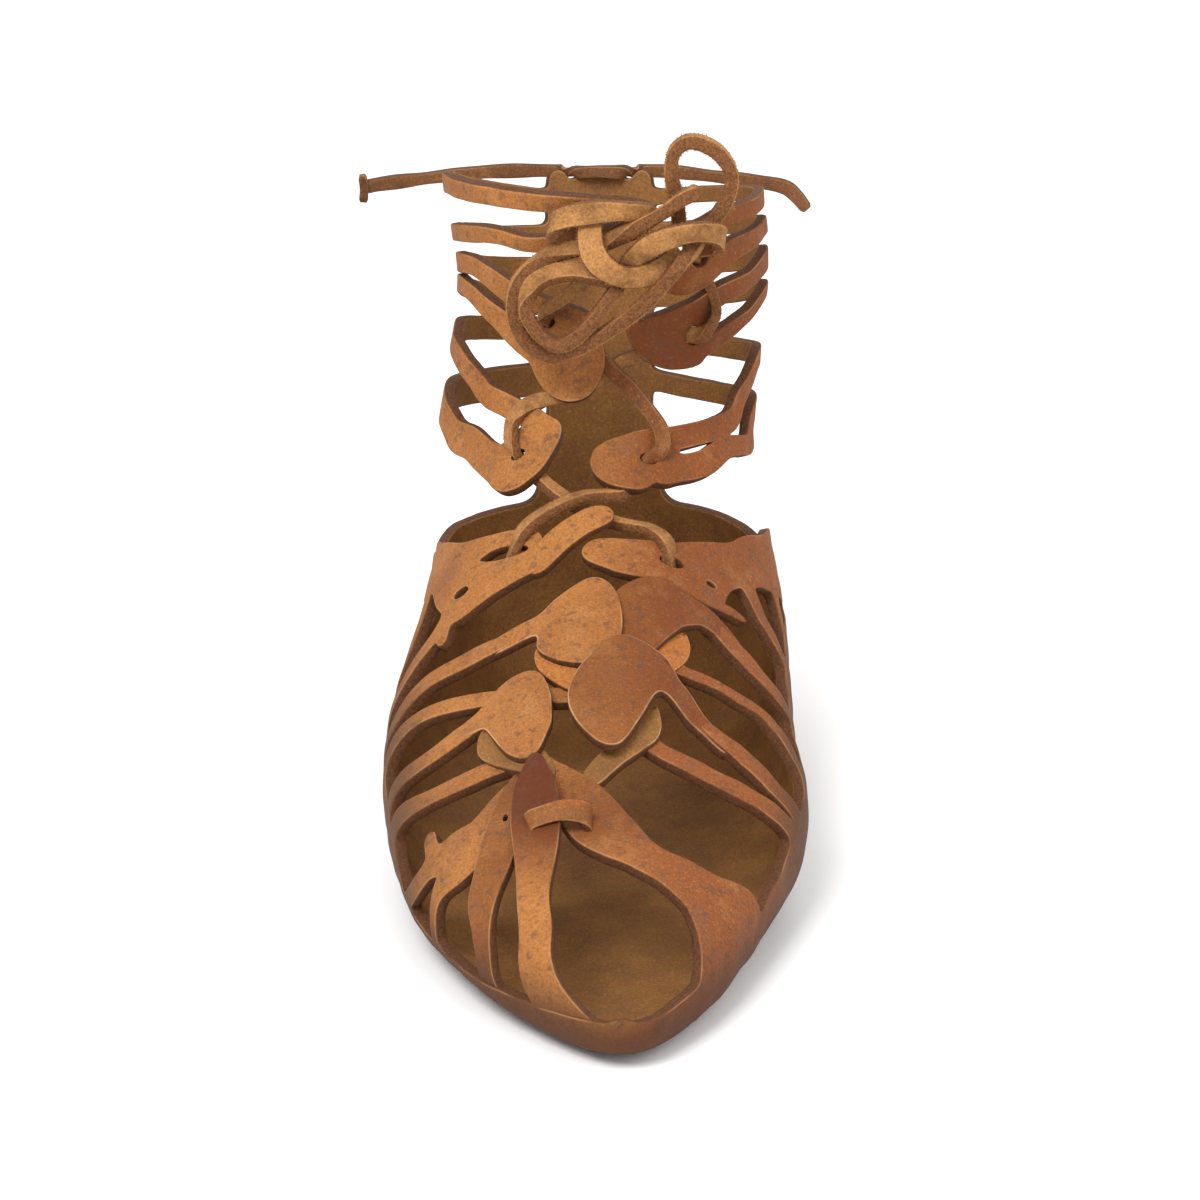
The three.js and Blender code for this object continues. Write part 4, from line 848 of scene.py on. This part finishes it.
raised("fold_under_leaf_a", [(3.56, -0.135, 2, 0.6), (3.40, -0.120, 4, 1.2), (3.20, -0.080, 5, 1.6),
                             (3.16, -0.03, 5, 1.6)],
       [(3.62, -0.142), (3.48, -0.147), (3.34, -0.143), (3.16, -0.109), (3.05, -0.072), (3.08, -0.030),
        (3.30, -0.02), (3.48, -0.09)], look=fold_look)
raised("fold_under_leaf_b", [(3.75, 0.155, 2, 0.6), (3.55, 0.145, 4, 1.0), (3.42, 0.125, 4, 1.0)],
       [(3.90, 0.162), (3.82, 0.172), (3.66, 0.184), (3.48, 0.176), (3.32, 0.150), (3.30, 0.110),
        (3.50, 0.105), (3.74, 0.140)], pale=1.0, look=fold_look)
raised("leaf_b", [(4.12, 0.27, 6.4, -0.5), (4.14, 0.22, 7.6, 0.6), (4.12, 0.17, 8, 2.4),
                  (4.02, 0.12, 9, 3.2), (3.86, 0.07, 9, 3.2)],
       [(4.08, 0.020), (4.24, 0.052), (4.34, 0.083), (4.35, 0.110), (4.30, 0.136), (4.26, 0.160),
        (4.18, 0.185), (3.98, 0.185), (3.86, 0.157), (3.72, 0.140), (3.42, 0.098), (3.40, 0.055),
        (3.62, 0.020), (3.86, 0.005)], dark=0.45)
raised("leaf_a", [(3.80, -0.235, 5.4, -0.5), (3.80, -0.19, 6.2, 0.4), (3.80, -0.14, 7, 1.9),
                  (3.74, -0.07, 9, 4.4), (3.66, -0.01, 9, 5.6)],
       [(3.90, -0.120), (4.02, -0.098), (4.13, -0.062), (4.24, -0.020), (4.18, 0.004), (4.03, 0.024),
        (3.82, 0.034), (3.52, 0.038), (3.28, 0.010), (3.26, -0.050), (3.36, -0.106), (3.48, -0.134),
        (3.60, -0.140), (3.68, -0.128)], pale=1.0)
raised("leaf_c", [(2.80, 0.30, 5.4, -0.5), (2.93, 0.225, 6.0, 0.6), (3.06, 0.165, 7, 4.0),
                  (3.08, 0.10, 9, 7.4), (2.95, 0.04, 10, 8.4), (2.85, -0.02, 8, 8.4)],
       [(3.26, -0.022), (3.44, 0.010), (3.50, 0.038), (3.47, 0.072), (3.40, 0.105), (3.30, 0.145),
        (3.10, 0.165), (2.92, 0.128), (2.68, 0.104), (2.46, 0.072), (2.35, 0.037), (2.39, -0.020),
        (2.56, -0.070), (2.72, -0.086), (2.86, -0.080), (3.08, -0.055)], dark=0.42, pale=1.0)
raised("band_left", [(2.66, -0.262, 4, 1.2), (2.50, -0.22, 6, 1.6), (2.36, -0.18, 6, 1.6),
                     (2.28, -0.162, 4, 1.0)],
       [(2.84, -0.287), (2.90, -0.262), (2.74, -0.222), (2.58, -0.180), (2.46, -0.156), (2.34, -0.148),
        (2.16, -0.150), (2.14, -0.180), (2.30, -0.215), (2.38, -0.252), (2.60, -0.300)], flesh_out=True)
raised("band_right", [(2.74, 0.132, 4, 1.6), (2.56, 0.090, 5, 2.0), (2.38, 0.02, 5, 1.2),
                      (2.30, -0.02, 4, -0.2), (2.24, -0.05, 3, -0.6)],
       [(2.96, 0.122), (2.90, 0.140), (2.62, 0.152), (2.44, 0.108), (2.34, 0.060), (2.18, -0.010),
        (2.14, -0.045), (2.28, -0.060), (2.40, -0.020), (2.50, 0.030), (2.68, 0.088)],
       flesh_out=True, pale=1.0)
raised("leaf_d", [(2.98, -0.34, 5.0, -0.6), (3.00, -0.29, 6, 0.6), (2.96, -0.24, 8, 2.6),
                  (2.86, -0.19, 9, 4.4), (2.70, -0.17, 8, 4.6)],
       [(3.04, -0.285), (3.22, -0.230), (3.30, -0.180), (3.28, -0.142), (3.04, -0.122), (2.82, -0.122),
        (2.60, -0.140), (2.42, -0.172), (2.36, -0.208), (2.46, -0.242), (2.62, -0.258), (2.86, -0.272)],
       pale=1.0)
raised("toe_strap_3", [(0.96, -0.580, 7, -0.4), (1.00, -0.520, 6.6, -0.1), (1.02, -0.470, 6.2, 0.3),
                       (1.11, -0.430, 6.4, 0.8), (1.30, -0.388, 8.4, 1.6), (1.50, -0.344, 9.4, 2.4),
                       (1.76, -0.304, 8.6, 3.0), (2.04, -0.262, 6.2, 3.2), (2.27, -0.230, 2.6, 2.8)],
       dark=0.5, holes=[(1.86, -0.287, 1.6, 3.0, 0)])
raised("toe_strap_1", [(0.17, -0.780, 16, -0.4), (0.24, -0.640, 15, -0.2), (0.42, -0.478, 11.4, 0.4),
                       (0.70, -0.348, 8.6, 1.0), (1.06, -0.298, 7.8, 2.0), (1.40, -0.254, 10.0, 3.6),
                       (1.74, -0.223, 11.8, 4.8), (2.04, -0.200, 9.6, 5.6), (2.24, -0.188, 5.2, 5.8),
                       (2.44, -0.180, 0.4, 5.2)], dark=lambda z: 0.95 * smooth((z - 30) / 14))
raised("instep_end", [(4.62, -0.148, 4, -0.5), (4.66, -0.120, 6, 0.2), (4.76, -0.085, 7, 1.8),
                      (4.88, -0.045, 6, 3.4), (5.00, -0.006, 3.6, 4.2)],
       [(4.74, -0.108), (4.88, -0.085), (5.02, -0.044), (5.09, -0.012), (5.08, 0.006), (4.98, 0.016),
        (4.86, 0.008), (4.74, -0.037), (4.54, -0.090), (4.46, -0.120), (4.62, -0.140)])

# Latchet and rear thong. The latchet crosses the first toe strap between two slits. The rear thong lies
# on the collar, goes through two slits in the back stay, and has a short cross bar at its outer end.
LATCHET = [(1.68, -0.240, 3.6, "L"), (1.68, -0.238, 6.4, "L"), (1.675, -0.232, 8.4, "LF"),
           (1.67, -0.205, 9.2, "FFU"), (1.69, -0.158, 9.2, "FFU"), (1.71, -0.110, 8.2, "FFU"),
           (1.73, -0.078, 6.8, "RF"), (1.74, -0.066, 4.2, "R"), (1.74, -0.065, 1.2, "R")]
LATCHET_WIDE, LATCHET_THICK, REAR_WIDE, BAR_WIDE, REAR_THICK = 5.3, 2.0, 3.6, 3.0, 2.4
latchet_look = leather("latchet_leather_look", srgb(150, 90, 50), srgb(136, 80, 44), srgb(140, 82, 46),
                       srgb(148, 84, 42), srgb(112, 68, 38))
latchet, _, _ = thong("toe_latchet_strip", along_form(LATCHET), LATCHET_WIDE, LATCHET_THICK, seed=2)
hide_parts("toe_latchet")
latchet.data.materials.append(latchet_look)
REAR = [(-64.8, 9, 155.6, "B"), (-60.5, 14, 155.4, "B"), (-47.2, 25, 154.8, "B"),
        (-33.4, 33.2, 154.6, "B"), (-20, 37.2, 154.2, "B"), (-12.5, 37.6, 154, "B"),
        (-8.8, 34.2, 154.4, "LB"), (-5, 30.4, 155.2, "B"), (0, 29.8, 155.5, "B"), (5, 30.4, 155.2, "B"),
        (8.8, 34.2, 154.4, "RB"), (12.5, 37.6, 154, "B"), (20, 36.8, 154, "B"), (32, 32.4, 153.6, "B"),
        (43, 25, 153.8, "B"), (51, 19, 153.6, "B"), (54.4, 15.6, 151.8, "B"), (57.4, 12.5, 148.6, "B")]
BAR = [(-65.4, 7.5, 151.6, "L"), (-65.2, 8, 155.4, "L"), (-65.6, 7.5, 159.2, "L")]
thong_look = leather("thong_leather_look", srgb(132, 90, 56), srgb(112, 74, 46), srgb(118, 76, 48),
                     srgb(140, 98, 60), srgb(104, 68, 42))
for name, rows, wide in (("rear_thong_strip", REAR, REAR_WIDE), ("rear_thong_bar", BAR, BAR_WIDE)):
    piece, _, _ = thong(name, rows, wide, REAR_THICK, seed=wide)
    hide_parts("rear_thong")
    piece.data.materials.append(thong_look)

# Stage. A pale floor that runs out into a white world, under broad soft light from above and in front.
# The lamps stand in metres from the heel and are turned to the middle of the shoe.
bpy.ops.mesh.primitive_plane_add(size=12, location=(0, 0, 0))
floor = bpy.context.object
floor.name = "floor"
floor_look = bpy.data.materials.new("floor_white")
floor_look.use_nodes = True
paint = floor_look.node_tree.nodes["Principled BSDF"].inputs
paint["Base Color"].default_value = (0.9, 0.9, 0.9, 1)
paint["Roughness"].default_value, paint["Specular IOR Level"].default_value = 0.9, 0.1
floor.data.materials.append(floor_look)
scene.view_settings.view_transform = "Standard"
world = bpy.data.worlds.new("world")
scene.world = world
world.use_nodes = True
sky = world.node_tree.nodes["Background"].inputs
sky["Color"].default_value, sky["Strength"].default_value = (1, 1, 1, 1), 0.85
for name, place, size, power in (("key", (-0.5, -1.1, 1.3), 0.7, 22), ("fill", (0.9, -0.9, 0.9), 1.2, 7),
                                 ("back", (0.1, 0.9, 1.1), 1.0, 5)):
    light = bpy.data.lights.new(name, "AREA")
    light.size, light.energy = size, power
    lamp = bpy.data.objects.new(name, light)
    lamp.location = place
    lamp.rotation_euler = (Vector((0, -0.09, 0.07)) - Vector(place)).to_track_quat("-Z", "Y").to_euler()
    scene.collection.objects.link(lamp)
